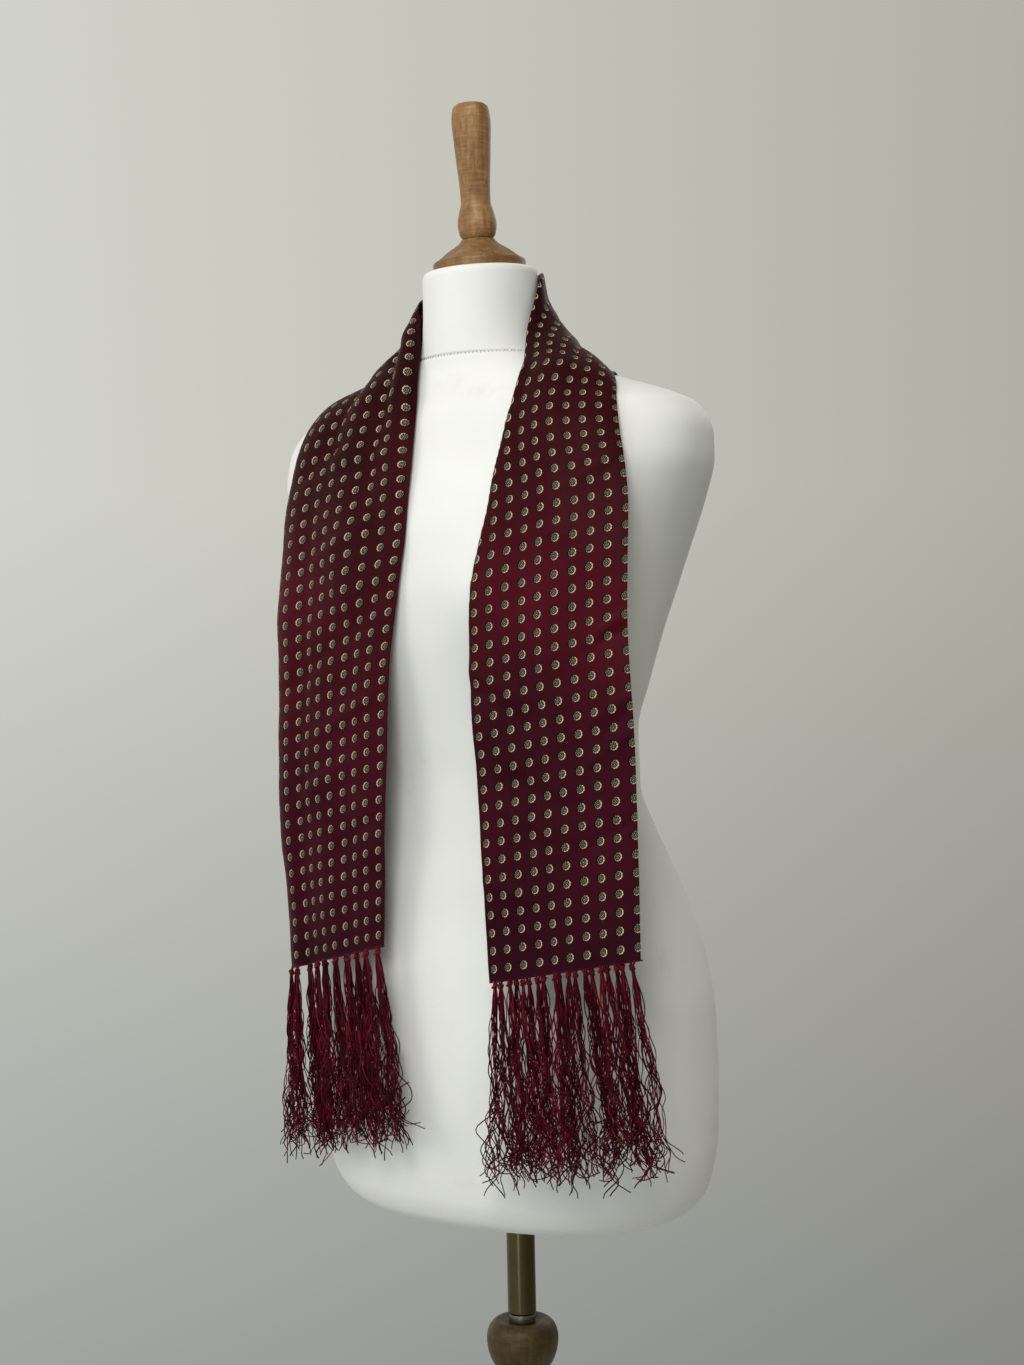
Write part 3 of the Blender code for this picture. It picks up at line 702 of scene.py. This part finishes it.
def strand_path(random, start, knot, axis, facing, side, reach):
    """One thread: from the hem through its knot, then down in loose kinks to a curled tip."""
    down = np.linspace(0, FRINGE_LENGTH * reach * random.uniform(0.89, 1.06), STRAND_STEPS)
    width, loose = columns_at(TASSEL_COLUMNS, TASSEL_SHAPE, down)
    place = random.uniform(0, 2 * math.pi) + random.uniform(0.5, 2.5) * smoothstep(down / 70)
    part = math.sqrt(random.uniform(0.02, 1.0))
    waves = ((55, 85, 2.1), (26, 40, 1.25), (14, 19, 0.35))
    aside = part * width * np.cos(place) + loose * wander(random, down, waves)
    ahead = part * width * np.sin(place) * 0.8 + loose * wander(random, down, waves) * 0.8
    if random.uniform(0, 1) < 0.12:
        loop = np.exp(-(((down - random.uniform(60, 125)) / random.uniform(9, 16)) ** 2))
        aside += random.choice((-1, 1)) * random.uniform(5, 9) * loop
    curl_from = down[-1] - random.uniform(16, 38)
    turn = smoothstep((down - curl_from) / (down[-1] - curl_from)) * (0.1 + 2.6 * random.uniform(0, 1) ** 2.6)
    step = down[1]
    heading = random.uniform(0, 2 * math.pi)
    swing = np.cumsum(np.sin(turn)) * step
    aside += swing * math.cos(heading)
    ahead += swing * math.sin(heading) * 0.6
    drop = np.concatenate([[0], np.cumsum(np.cos(turn[1:]))]) * step
    bend = axis(down)
    path = knot + (
        side * (aside + bend[:, 0])[:, None]
        + facing * (ahead + bend[:, 1])[:, None]
        + np.array((0, 0, -1.0)) * drop[:, None]
    ) * MM
    over = start * 0.55 + knot * 0.45
    return np.concatenate([[start, over], path])


def knot_path(random, centre, side, facing):
    """A short lumpy wrap of the tassel's own threads."""
    steps = 34
    turn = np.linspace(0, 2 * math.pi * 2.6, steps) + random.uniform(0, 6)
    rise = np.linspace(1.6, -1.6, steps)
    tilt = random.uniform(-0.5, 0.5)
    out = 1.35 + 0.25 * np.sin(turn * 0.7 + random.uniform(0, 6))
    return centre + (
        side * (out * np.cos(turn) + tilt * rise)[:, None]
        + facing * (out * np.sin(turn))[:, None]
        + np.array((0, 0, 1.0)) * (rise + 0.4 * np.sin(turn * 1.3))[:, None]
    ) * MM


def hem_points(row, normals, shares):
    """Points and normals at these shares of a hem's length."""
    steps = np.linalg.norm(np.diff(row, axis=0), axis=1)
    length = np.concatenate([[0], np.cumsum(steps)])
    at = np.asarray(shares) * length[-1]
    points = np.stack([np.interp(at, length, row[:, i]) for i in range(3)], axis=1)
    facing = np.stack([np.interp(at, length, normals[:, i]) for i in range(3)], axis=1)
    return points, facing / np.linalg.norm(facing, axis=1, keepdims=True)


def tassel_axis(random, away, layer):
    """How far the tassel's middle line has bent aside and out from the form at each distance down, in mm."""
    lean = random.normal(0, 3.6)
    out = abs(random.normal(0, 1.5)) * layer
    phase = random.uniform(0, 1, 2)
    length = random.uniform(85, 130, 2)

    def axis(down):
        part = down / FRINGE_LENGTH
        sway = np.sin(2 * math.pi * (down / length[0] + phase[0])) - math.sin(2 * math.pi * phase[0])
        nod = np.sin(2 * math.pi * (down / length[1] + phase[1])) - math.sin(2 * math.pi * phase[1])
        aside = (lean + away) * part**0.9 + 1.5 * sway * part
        ahead = out * part + 1.1 * nod * part
        return np.stack([aside, ahead], axis=1)

    return axis


def make_tassel(random, place, facing, pivot, layer):
    """The threads and the knot of one tassel, each with its path, radius, sides, tone and part along."""
    down = np.array((0, 0, -1.0))
    side = np.cross(down, facing)
    side /= np.linalg.norm(side)
    facing = np.cross(side, down)
    centre = place + down * (KNOT_DROP + random.uniform(-0.7, 0.9)) * MM + facing * layer * KNOT_OUT * MM
    axis = tassel_axis(random, (place - pivot) @ side * FRINGE_SPREAD / MM, layer)
    reach = random.uniform(0.90, 1.02)
    threads = []
    for number in range(STRANDS):
        bundle = (-1, 1)[number % 2] * random.uniform(1.0, 2.6)
        start = place + side * bundle * MM + facing * layer * 0.5 * MM - down * 0.8 * MM
        jitter = (side * random.normal(0, 0.35) + facing * random.normal(0, 0.35)) * MM
        path = strand_path(random, start, centre + jitter, axis, facing, side, reach)
        part = np.linspace(0, 1, len(path))
        radius = (STRAND_RADIUS + (STRAND_TIP - STRAND_RADIUS) * part) * MM * random.uniform(0.85, 1.12)
        # The random tone sets how dark or bright the thread is drawn: partly real variation, partly painted
        # shade and painted highlight.
        threads.append((path, radius, STRAND_SIDES, random.beta(1.6, 2.0), part))
    wrap = knot_path(random, centre, side, facing)
    threads.append((wrap, 0.92 * MM, 7, random.uniform(0.55, 0.85), np.zeros(len(wrap))))
    return threads


def make_fringe(node, hem, normals, pivot, layer, seed, finish):
    """One layer's tassels: each knotted close under the hem, and loose below."""
    random = np.random.default_rng(seed)
    count = TASSELS if layer > 0 else TASSELS - 1
    shares = (np.arange(count) + (0.5 if layer > 0 else 0.5 + BACK_TASSEL_SHIFT)) / TASSELS
    shares = np.clip(shares + random.uniform(-0.012, 0.012, count), 0.02, 0.98)
    places, facings = hem_points(hem, normals, shares)
    points, faces, strands = [], [], []
    first = 0
    for place, facing in zip(places, facings):
        for path, radius, sides, tone, part in make_tassel(random, place, facing, pivot, layer):
            tube_points, tube_faces = tube(path, radius, sides)
            points.append(tube_points)
            faces += [[first + i for i in face] for face in tube_faces]
            strands.append(np.stack([np.full(len(tube_points), tone), np.repeat(part, sides)], axis=1))
            first += len(tube_points)
    made = object_from(f"{node}_threads", np.concatenate(points), faces)
    add_uv(made, "strand", np.concatenate(strands))
    made.data.materials.append(finish)
    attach(made, "root")
    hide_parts(node)
    return made


def make_hem_cord(name, hem, normals, finish):
    """The rolled edge of the tube's end, a thin line of thread round both layers."""
    shares = np.linspace(0.003, 0.997, HEM_CORD_PLACES)
    points, facing = hem_points(hem, normals, shares)
    wobble = 0.12 * np.sin(np.arange(HEM_CORD_PLACES) * 2.1)
    out = LAYER + 0.1 + wobble
    front = points + facing * out[:, None] * MM
    back = (points - facing * out[:, None] * MM)[::-1]
    path = np.concatenate([front, back, front[:1]])
    tube_points, tube_faces = tube(path, HEM_CORD_RADIUS * MM, 6)
    made = object_from(name, tube_points, tube_faces)
    tone = np.full(len(tube_points), 0.45)
    add_uv(made, "strand", np.stack([tone, np.zeros(len(tone))], axis=1))
    made.data.materials.append(finish)
    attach(made, "root")
    return made


# Materials


class Shade:
    """A material's node tree, with arithmetic on its values."""

    def __init__(self, name, **constants):
        self.material = bpy.data.materials.new(name)
        self.material.use_nodes = True
        self.nodes = self.material.node_tree.nodes
        self.links = self.material.node_tree.links
        self.shader = self.nodes["Principled BSDF"]
        for key, value in constants.items():
            self.shader.inputs[key.replace("_", " ")].default_value = value

    def node(self, kind, settings=(), **inputs):
        made = self.nodes.new(kind)
        for key, value in dict(settings).items():
            setattr(made, key, value)
        for key, value in inputs.items():
            self.feed(made.inputs[key.replace("_", " ")], value)
        return made

    def feed(self, socket, value):
        if isinstance(value, Signal):
            value = value.socket
        if isinstance(value, bpy.types.NodeSocket):
            self.links.new(value, socket)
        else:
            socket.default_value = value

    def math(self, operation, *values):
        made = self.nodes.new("ShaderNodeMath")
        made.operation = operation
        for socket, value in zip(made.inputs, values):
            self.feed(socket, value)
        return Signal(self, made.outputs[0])

    def ramp(self, value, *stops):
        made = self.nodes.new("ShaderNodeValToRGB")
        self.feed(made.inputs[0], value)
        elements = made.color_ramp.elements
        for element, (place, colour) in zip(elements, (stops[0], stops[-1])):
            element.position, element.color = place, (*colour, 1)
        for place, colour in stops[1:-1]:
            elements.new(place).color = (*colour, 1)
        return made.outputs[0]

    def mix(self, factor, first, second, blend="MIX"):
        made = self.nodes.new("ShaderNodeMix")
        made.data_type = "RGBA"
        made.blend_type = blend
        for socket, value in ((made.inputs[0], factor), (made.inputs[6], first), (made.inputs[7], second)):
            if isinstance(value, tuple) and len(value) == 3:
                value = (*value, 1)
            self.feed(socket, value)
        return made.outputs[2]

    def noise(self, vector, scale, detail=3.0, roughness=0.5):
        made = self.node("ShaderNodeTexNoise", Vector=vector, Scale=scale, Detail=detail, Roughness=roughness)
        return Signal(self, made.outputs["Fac"])

    def position(self, scale=(1, 1, 1)):
        """The place on the object in its own frame, stretched by this scale."""
        place = self.nodes.new("ShaderNodeTexCoord").outputs["Object"]
        made = self.node("ShaderNodeMapping", Vector=place, Scale=scale)
        return made.outputs[0]

    def uv(self, name):
        """The two numbers of a UV map."""
        made = self.nodes.new("ShaderNodeUVMap")
        made.uv_map = name
        parts = self.node("ShaderNodeSeparateXYZ", Vector=made.outputs[0])
        return Signal(self, parts.outputs[0]), Signal(self, parts.outputs[1]), made.outputs[0]

    def bump(self, height, distance, strength=1.0):
        made = self.node("ShaderNodeBump", Height=height, Distance=distance, Strength=strength)
        self.links.new(made.outputs[0], self.shader.inputs["Normal"])

    def set(self, name, value):
        self.feed(self.shader.inputs[name], value)


class Signal:
    """A number of a node tree that plain arithmetic works on."""

    def __init__(self, shade, socket):
        self.shade, self.socket = shade, socket

    def __add__(self, other):
        return self.shade.math("ADD", self, other)

    def __sub__(self, other):
        return self.shade.math("SUBTRACT", self, other)

    def __rsub__(self, other):
        return self.shade.math("SUBTRACT", other, self)

    def __mul__(self, other):
        return self.shade.math("MULTIPLY", self, other)

    __radd__ = __add__
    __rmul__ = __mul__

    def step(self, low, high):
        """0 below low and 1 above high, smooth between."""
        made = self.shade.nodes.new("ShaderNodeMapRange")
        made.interpolation_type = "SMOOTHSTEP"
        for socket, value in zip(made.inputs, (self, low, high, 0.0, 1.0)):
            self.shade.feed(socket, value)
        return Signal(self.shade, made.outputs[0])

    def clamp(self):
        return self.shade.math("MINIMUM", self.shade.math("MAXIMUM", self, 0.0), 1.0)


def length_of(shade, x, y):
    return shade.math("SQRT", x * x + y * y)


def rosette(shade, across, run):
    """The woven rosette at this place on the cloth, in mm from its middle, as masks.

    They are its thick crescent, its thin rim and dots, its dark ground and the shadow beside it.
    """
    def cell(value, pitch, start):
        whole = shade.math("FRACT", value * (1000.0 / pitch) + start)
        return (whole - 0.5) * pitch

    across, run = cell(across, PITCH_ACROSS, 0.0), cell(run, PITCH_ALONG, ALONG_START)
    x = across * MOTIF_HEADING[0] + run * MOTIF_HEADING[1]
    y = run * MOTIF_HEADING[0] - across * MOTIF_HEADING[1]
    angle = shade.math("ARCTAN2", y, x)
    scallop = shade.math("ABSOLUTE", shade.math("COSINE", angle * 4.5))
    body = 1.0 - (length_of(shade, x, y) - scallop * 0.38).step(2.62, 2.86)
    crescent = body * length_of(shade, x + 0.50, y).step(2.66, 2.84)
    inner = x + 0.30
    inner_angle = shade.math("ARCTAN2", y, inner)
    far = length_of(shade, inner, y)
    rim = far.step(2.16, 2.32) * (1.0 - far.step(2.48, 2.62))
    rim = rim * shade.math("ABSOLUTE", shade.math("COSINE", inner_angle * 4.5)).step(0.25, 0.75)
    fold = (shade.math("FRACT", inner_angle * (7 / (2 * math.pi)) + 10.0) - 0.5) * (2 * math.pi / 7)
    petal_x = far * shade.math("COSINE", fold) - 1.32
    petal_y = far * shade.math("SINE", fold)
    petals = 1.0 - length_of(shade, petal_x, petal_y).step(0.18, 0.36)
    eye = 1.0 - far.step(0.26, 0.46)
    dots = ((rim * 0.75 + petals * 0.9 + eye) * body).clamp()
    shadow = 1.0 - (length_of(shade, x + 1.0, y * 0.95) - scallop * 0.2).step(2.55, 3.15)
    return crescent, dots, body, shadow


def cloth_noise(shade, uv, across, along):
    """Noise on the cloth's own map, at these scales across the cloth and along it."""
    place = shade.node("ShaderNodeMapping", Vector=uv, Scale=(across, along, 1.0)).outputs[0]
    return shade.noise(place, 1.0, 2.0)


def silk_material():
    shade = Shade(
        "woven_silk", Specular_IOR_Level=0.03, Sheen_Weight=0.05, Sheen_Roughness=0.35,
        Sheen_Tint=(1.0, 0.08, 0.12, 1.0),
    )
    across, run, uv = shade.uv("cloth")
    crescent, dots, body, shadow = rosette(shade, across, run)
    slub = cloth_noise(shade, uv, 1500.0, 90.0)
    cloudy = shade.noise(shade.position(), 9.0, 2.0)
    # The ground colour set by the distance from the nape is painted light, not dye: darker by the neck, a
    # painted red sheen at mid-height and a painted cool purple reflection towards the hems.
    painted_light_by_run = shade.ramp(
        shade.math("ABSOLUTE", run) * 1.5,
        (0.30, (0.024, 0.0026, 0.0034)),
        (0.56, (0.050, 0.0036, 0.0086)),
        (0.80, (0.034, 0.0026, 0.0092)),
        (0.96, (0.024, 0.0023, 0.0080)),
    )
    # Large random patches, the lighter ones warmer and the darker ones cooler: partly the silk's own uneven
    # tone, partly painted warm and cool light.
    tone_and_painted_light = shade.ramp(cloudy * 0.75 + slub * 0.25, (0.36, (0.68, 0.80, 0.80)), (0.64, (1.30, 1.15, 1.10)))
    ground = shade.mix(1.0, painted_light_by_run, tone_and_painted_light, "MULTIPLY")
    dark = shade.mix(shadow * 0.93, ground, (0.0035, 0.0030, 0.0026))
    centre = shade.mix(body, dark, (0.0050, 0.0085, 0.0050))
    thread = cloth_noise(shade, uv, 2600.0, 600.0)
    gold = shade.ramp(thread, (0.30, (0.41, 0.300, 0.150)), (0.70, (0.74, 0.60, 0.36)))
    grey = shade.ramp(thread, (0.30, (0.26, 0.240, 0.165)), (0.70, (0.54, 0.50, 0.360)))
    shade.set("Base Color", shade.mix(crescent, shade.mix(dots, centre, grey), gold))
    twill = shade.math("SINE", (across + run) * (2 * math.pi / 0.00062))
    shade.set("Roughness", 0.43 + 0.12 * (slub - 0.5) + body * 0.10)
    shade.bump(twill * 0.22 + slub * 0.5 + body * 0.6 + crescent * 0.8 + dots * 0.5, 0.10 * MM, 0.7)
    return shade.material


def thread_material():
    shade = Shade(
        "silk_thread", Roughness=0.40, Specular_IOR_Level=0.12, Specular_Tint=(1.0, 0.30, 0.32, 1.0),
        Sheen_Weight=0.08, Sheen_Tint=(1.0, 0.12, 0.18, 1.0),
    )
    tone, along, _ = shade.uv("strand")
    mottled = shade.noise(shade.position((1, 1, 0.5)), 150.0, 2.0)
    # Each thread's tone is random, with mottled patches along it, and runs from near-black to bright crimson:
    # partly real variation between threads, partly painted shade and painted highlight.
    colour = shade.ramp(
        tone * 0.62 + mottled * 0.38,
        (0.14, (0.006, 0.0010, 0.0022)),
        (0.42, (0.030, 0.0021, 0.0050)),
        (0.64, (0.100, 0.0055, 0.0120)),
        (0.88, (0.215, 0.0150, 0.0260)),
    )
    shade.set("Base Color", colour)
    twist = shade.math("SINE", along * 900.0)
    shade.bump(twist, 0.06 * MM, 0.5)
    return shade.material


def jersey_material():
    shade = Shade("white_jersey_knit", Specular_IOR_Level=0.25, Sheen_Weight=0.25, Sheen_Roughness=0.5)
    soft = shade.noise(shade.position(), 7.0, 3.0)
    stain = shade.noise(shade.position((1, 1, 0.7)), 19.0, 4.0, 0.6)
    clean = shade.ramp(soft, (0.35, (0.750, 0.755, 0.740)), (0.65, (0.810, 0.815, 0.805)))
    worn = shade.mix(stain.step(0.60, 0.82) * 0.35, clean, (0.56, 0.50, 0.40))
    knit = shade.noise(shade.position((1, 1, 1.6)), 950.0, 2.0)
    shade.set("Base Color", shade.mix(knit.step(0.30, 0.70) * 0.10, worn, (0.60, 0.595, 0.57)))
    shade.set("Roughness", 0.82 + 0.12 * (knit - 0.5))
    weave = shade.noise(shade.position((1.0, 1.0, 0.5)), 1500.0, 2.0)
    shade.bump(knit * 0.6 + weave * 0.4 + soft * 3.0, 0.16 * MM, 0.6)
    return shade.material


def seam_thread_material():
    shade = Shade("grey_seam_thread", Roughness=0.75, Specular_IOR_Level=0.2)
    worn = shade.noise(shade.position(), 160.0, 2.0)
    shade.set("Base Color", shade.ramp(worn, (0.35, (0.26, 0.26, 0.27)), (0.65, (0.44, 0.44, 0.45))))
    return shade.material


def wood_material(name, dark, middle, light, varnish=0.06, grain_axis=2):
    """Turned wood with its grain along one axis, blotches of stain, fine pores and the lathe's rings."""

    def drawn_out(share):
        return tuple(share if axis == grain_axis else 1 for axis in range(3))

    shade = Shade(name, Specular_IOR_Level=0.28, Coat_Weight=varnish, Coat_Roughness=0.35)
    blotch = shade.noise(shade.position(drawn_out(0.6)), 70.0, 4.0, 0.65)
    grain = shade.noise(shade.position(drawn_out(0.07)), 260.0, 4.0, 0.62)
    rings = shade.noise(shade.position((0.10, 0.10, 1)), 620.0, 3.0, 0.6)
    tone = (grain * 0.36 + rings * 0.26 + blotch * 0.38).clamp()
    colour = shade.ramp(tone, (0.36, dark), (0.50, middle), (0.66, light))
    pores = shade.noise(shade.position(drawn_out(0.12)), 1100.0, 2.0).step(0.58, 0.74)
    shade.set("Base Color", shade.mix(pores * 0.55, colour, tuple(0.4 * c for c in dark)))
    shade.set("Roughness", 0.36 + 0.20 * grain)
    shade.bump(grain * 0.3 + rings * 0.5 - pores * 0.6, 0.20 * MM, 0.6)
    return shade.material


def metal_material(name, colour, roughness):
    """Drawn tube, with faint draw lines along it."""
    shade = Shade(name, Metallic=1.0)
    lines = shade.noise(shade.position((1, 1, 0.01)), 1400.0, 2.0)
    smear_and_painted_reflection = shade.noise(shade.position(), 60.0, 3.0)
    # The darker patches in the base colour are painted reflection, standing in for dark streaks of the room
    # on the polished metal; the same noise also varies the roughness.
    shade.set("Base Color", shade.mix(smear_and_painted_reflection.step(0.35, 0.75) * 0.5, colour, tuple(0.72 * c for c in colour)))
    shade.set("Roughness", roughness + 0.10 * lines + 0.10 * smear_and_painted_reflection)
    shade.bump(lines, 0.03 * MM, 0.4)
    return shade.material


# The stage


def make_camera():
    right = Vector((math.cos(CAMERA_TURN), math.sin(CAMERA_TURN), 0))
    back = Vector((math.sin(CAMERA_TURN), -math.cos(CAMERA_TURN), 0))
    up = Vector((0, 0, 1))
    camera = bpy.data.objects.new("camera", bpy.data.cameras.new("camera"))
    bpy.context.scene.collection.objects.link(camera)
    data = camera.data
    data.sensor_fit = "VERTICAL"
    data.sensor_height = 24.0
    data.lens = FOCAL_PIXELS / PICTURE_HEIGHT * data.sensor_height
    data.clip_end = 40.0
    x = right * math.cos(CAMERA_ROLL) - up * math.sin(CAMERA_ROLL)
    y = right * math.sin(CAMERA_ROLL) + up * math.cos(CAMERA_ROLL)
    eye = back * CAMERA_AWAY + up * CAMERA_HEIGHT + right * CAMERA_ASIDE
    camera.matrix_world = Matrix((
        (x[0], y[0], back[0], eye[0]),
        (x[1], y[1], back[1], eye[1]),
        (x[2], y[2], back[2], eye[2]),
        (0, 0, 0, 1),
    ))
    bpy.context.scene.camera = camera


def area_light(name, place, target, size, watts, colour):
    lamp = bpy.data.lights.new(name, "AREA")
    lamp.shape = "DISK"
    lamp.size = size
    lamp.energy = watts
    lamp.color = colour
    made = bpy.data.objects.new(name, lamp)
    made.location = place
    made.rotation_euler = (Vector(target) - Vector(place)).to_track_quat("-Z", "Y").to_euler()
    bpy.context.scene.collection.objects.link(made)


def make_stage():
    turn = np.linspace(0, 2 * math.pi, FLOOR_SIDES, endpoint=False)
    ring = np.stack([np.cos(turn), np.sin(turn), np.zeros(FLOOR_SIDES)], axis=1) * FLOOR_RADIUS
    floor = object_from("floor", ring, [list(range(FLOOR_SIDES))])
    shade = Shade("pale_floor", Roughness=0.9, Specular_IOR_Level=0.1)
    mottle = shade.noise(shade.position(), 3.0, 2.0)
    shade.set("Base Color", shade.ramp(mottle, (0.3, (0.50, 0.50, 0.465)), (0.7, (0.54, 0.54, 0.50))))
    floor.data.materials.append(shade.material)
    make_room_light()
    area_light("key", (0.72, -1.70, 2.50), (0, 0, 1.25), 0.9, 26, (1.0, 0.98, 0.955))
    area_light("side", (-1.25, -1.85, 1.75), (0, 0, 1.2), 1.0, 8, (1.0, 0.95, 0.87))
    area_light("cool_fill", (0.55, -2.35, 0.40), (0.05, 0, 0.95), 0.8, 3.5, (0.55, 0.78, 1.0))
    area_light("back_light", (0.2, 2.3, 2.4), (0, 0, 1.2), 1.4, 8, (0.96, 0.97, 1.0))


def make_room_light():
    """A pale room, brighter on the camera's left and above than on its right and below."""
    world = bpy.data.worlds.new("soft_room")
    world.use_nodes = True
    tree = world.node_tree
    place = tree.nodes.new("ShaderNodeTexCoord").outputs["Generated"]

    def dot(direction):
        made = tree.nodes.new("ShaderNodeVectorMath")
        made.operation = "DOT_PRODUCT"
        tree.links.new(place, made.inputs[0])
        made.inputs[1].default_value = direction
        return made.outputs["Value"]

    def ramp(value, low, high, colours):
        spread = tree.nodes.new("ShaderNodeMapRange")
        spread.inputs["From Min"].default_value = low
        spread.inputs["From Max"].default_value = high
        tree.links.new(value, spread.inputs["Value"])
        made = tree.nodes.new("ShaderNodeValToRGB")
        tree.links.new(spread.outputs[0], made.inputs[0])
        elements = made.color_ramp.elements
        elements[0].color = (*colours[0], 1)
        elements[1].color = (*colours[-1], 1)
        for i, colour in enumerate(colours[1:-1], 1):
            elements.new(i / (len(colours) - 1)).color = (*colour, 1)
        return made.outputs[0]

    aside = ramp(dot((math.cos(CAMERA_TURN), math.sin(CAMERA_TURN), 0)), -0.8, 0.8, ROOM_ACROSS)
    up = ramp(dot((0, 0, 1)), -0.45, 0.10, ROOM_UP)
    mixed = tree.nodes.new("ShaderNodeMix")
    mixed.data_type = "RGBA"
    mixed.blend_type = "MULTIPLY"
    mixed.inputs[0].default_value = 1.0
    tree.links.new(aside, mixed.inputs[6])
    tree.links.new(up, mixed.inputs[7])
    tree.links.new(mixed.outputs[2], tree.nodes["Background"].inputs[0])
    bpy.context.scene.world = world


def main():
    bpy.context.scene.view_settings.view_transform = "Standard"
    make_camera()
    jersey = jersey_material()
    silk = silk_material()
    thread = thread_material()
    oak = wood_material("handle_wood", (0.138, 0.062, 0.020), (0.275, 0.142, 0.052), (0.440, 0.256, 0.118))
    dark_oak = wood_material("cap_wood", (0.100, 0.046, 0.014), (0.190, 0.098, 0.034), (0.310, 0.180, 0.076))
    stained = ((0.022, 0.013, 0.003), (0.056, 0.033, 0.008), (0.105, 0.067, 0.019))
    walnut = wood_material("stand_wood", *stained, varnish=0.04)
    plank = wood_material("base_wood", *stained, varnish=0.04, grain_axis=0)
    bronze = metal_material("pole_bronze", (0.135, 0.100, 0.045), 0.10)
    nickel = metal_material("collar_nickel", (0.22, 0.20, 0.17), 0.28)

    torso = make_torso(jersey)
    make_neck_stitches(seam_thread_material())
    turned("neck_cap_wood", CAP_PROFILE, dark_oak, "neck_cap", lean=True, ripple=0.00008)
    raised = tuple((HANDLE_FOOT + up, radius) for up, radius in HANDLE_PROFILE)
    turned("handle_wood", raised, oak, "handle", lean=True, ripple=0.00006)
    turned("stand_stem", STEM_PROFILE, walnut, "stem", ripple=0.00006)
    turned("stand_base", BASE_PROFILE, plank, "base", sides=160, ripple=0.00005)
    turned("pole_tube", POLE_PROFILE, bronze, "pole", sides=96)
    turned("collar_ring", COLLAR_PROFILE, nickel, "collar", sides=96, step=0.0004)

    form = BVHTree.FromPolygons(
        [tuple(vert.co) for vert in torso.data.vertices],
        [tuple(face.vertices) for face in torso.data.polygons],
    )
    scarf, cut, middle, normals = make_scarf(form, silk)
    for side, end, still in (("right", 0, -1), ("left", -1, 0)):
        hem = middle[end]
        for number, (label, layer) in enumerate((("front", 1), ("back", -1))):
            node = f"fringe_{side}_{label}"
            seed = 11 + number + (0 if side == "right" else 7)
            make_fringe(node, hem, normals[end], hem[still], layer, seed, thread)
        make_hem_cord(f"hem_{side}", hem, normals[end], thread)
    make_stage()


main()
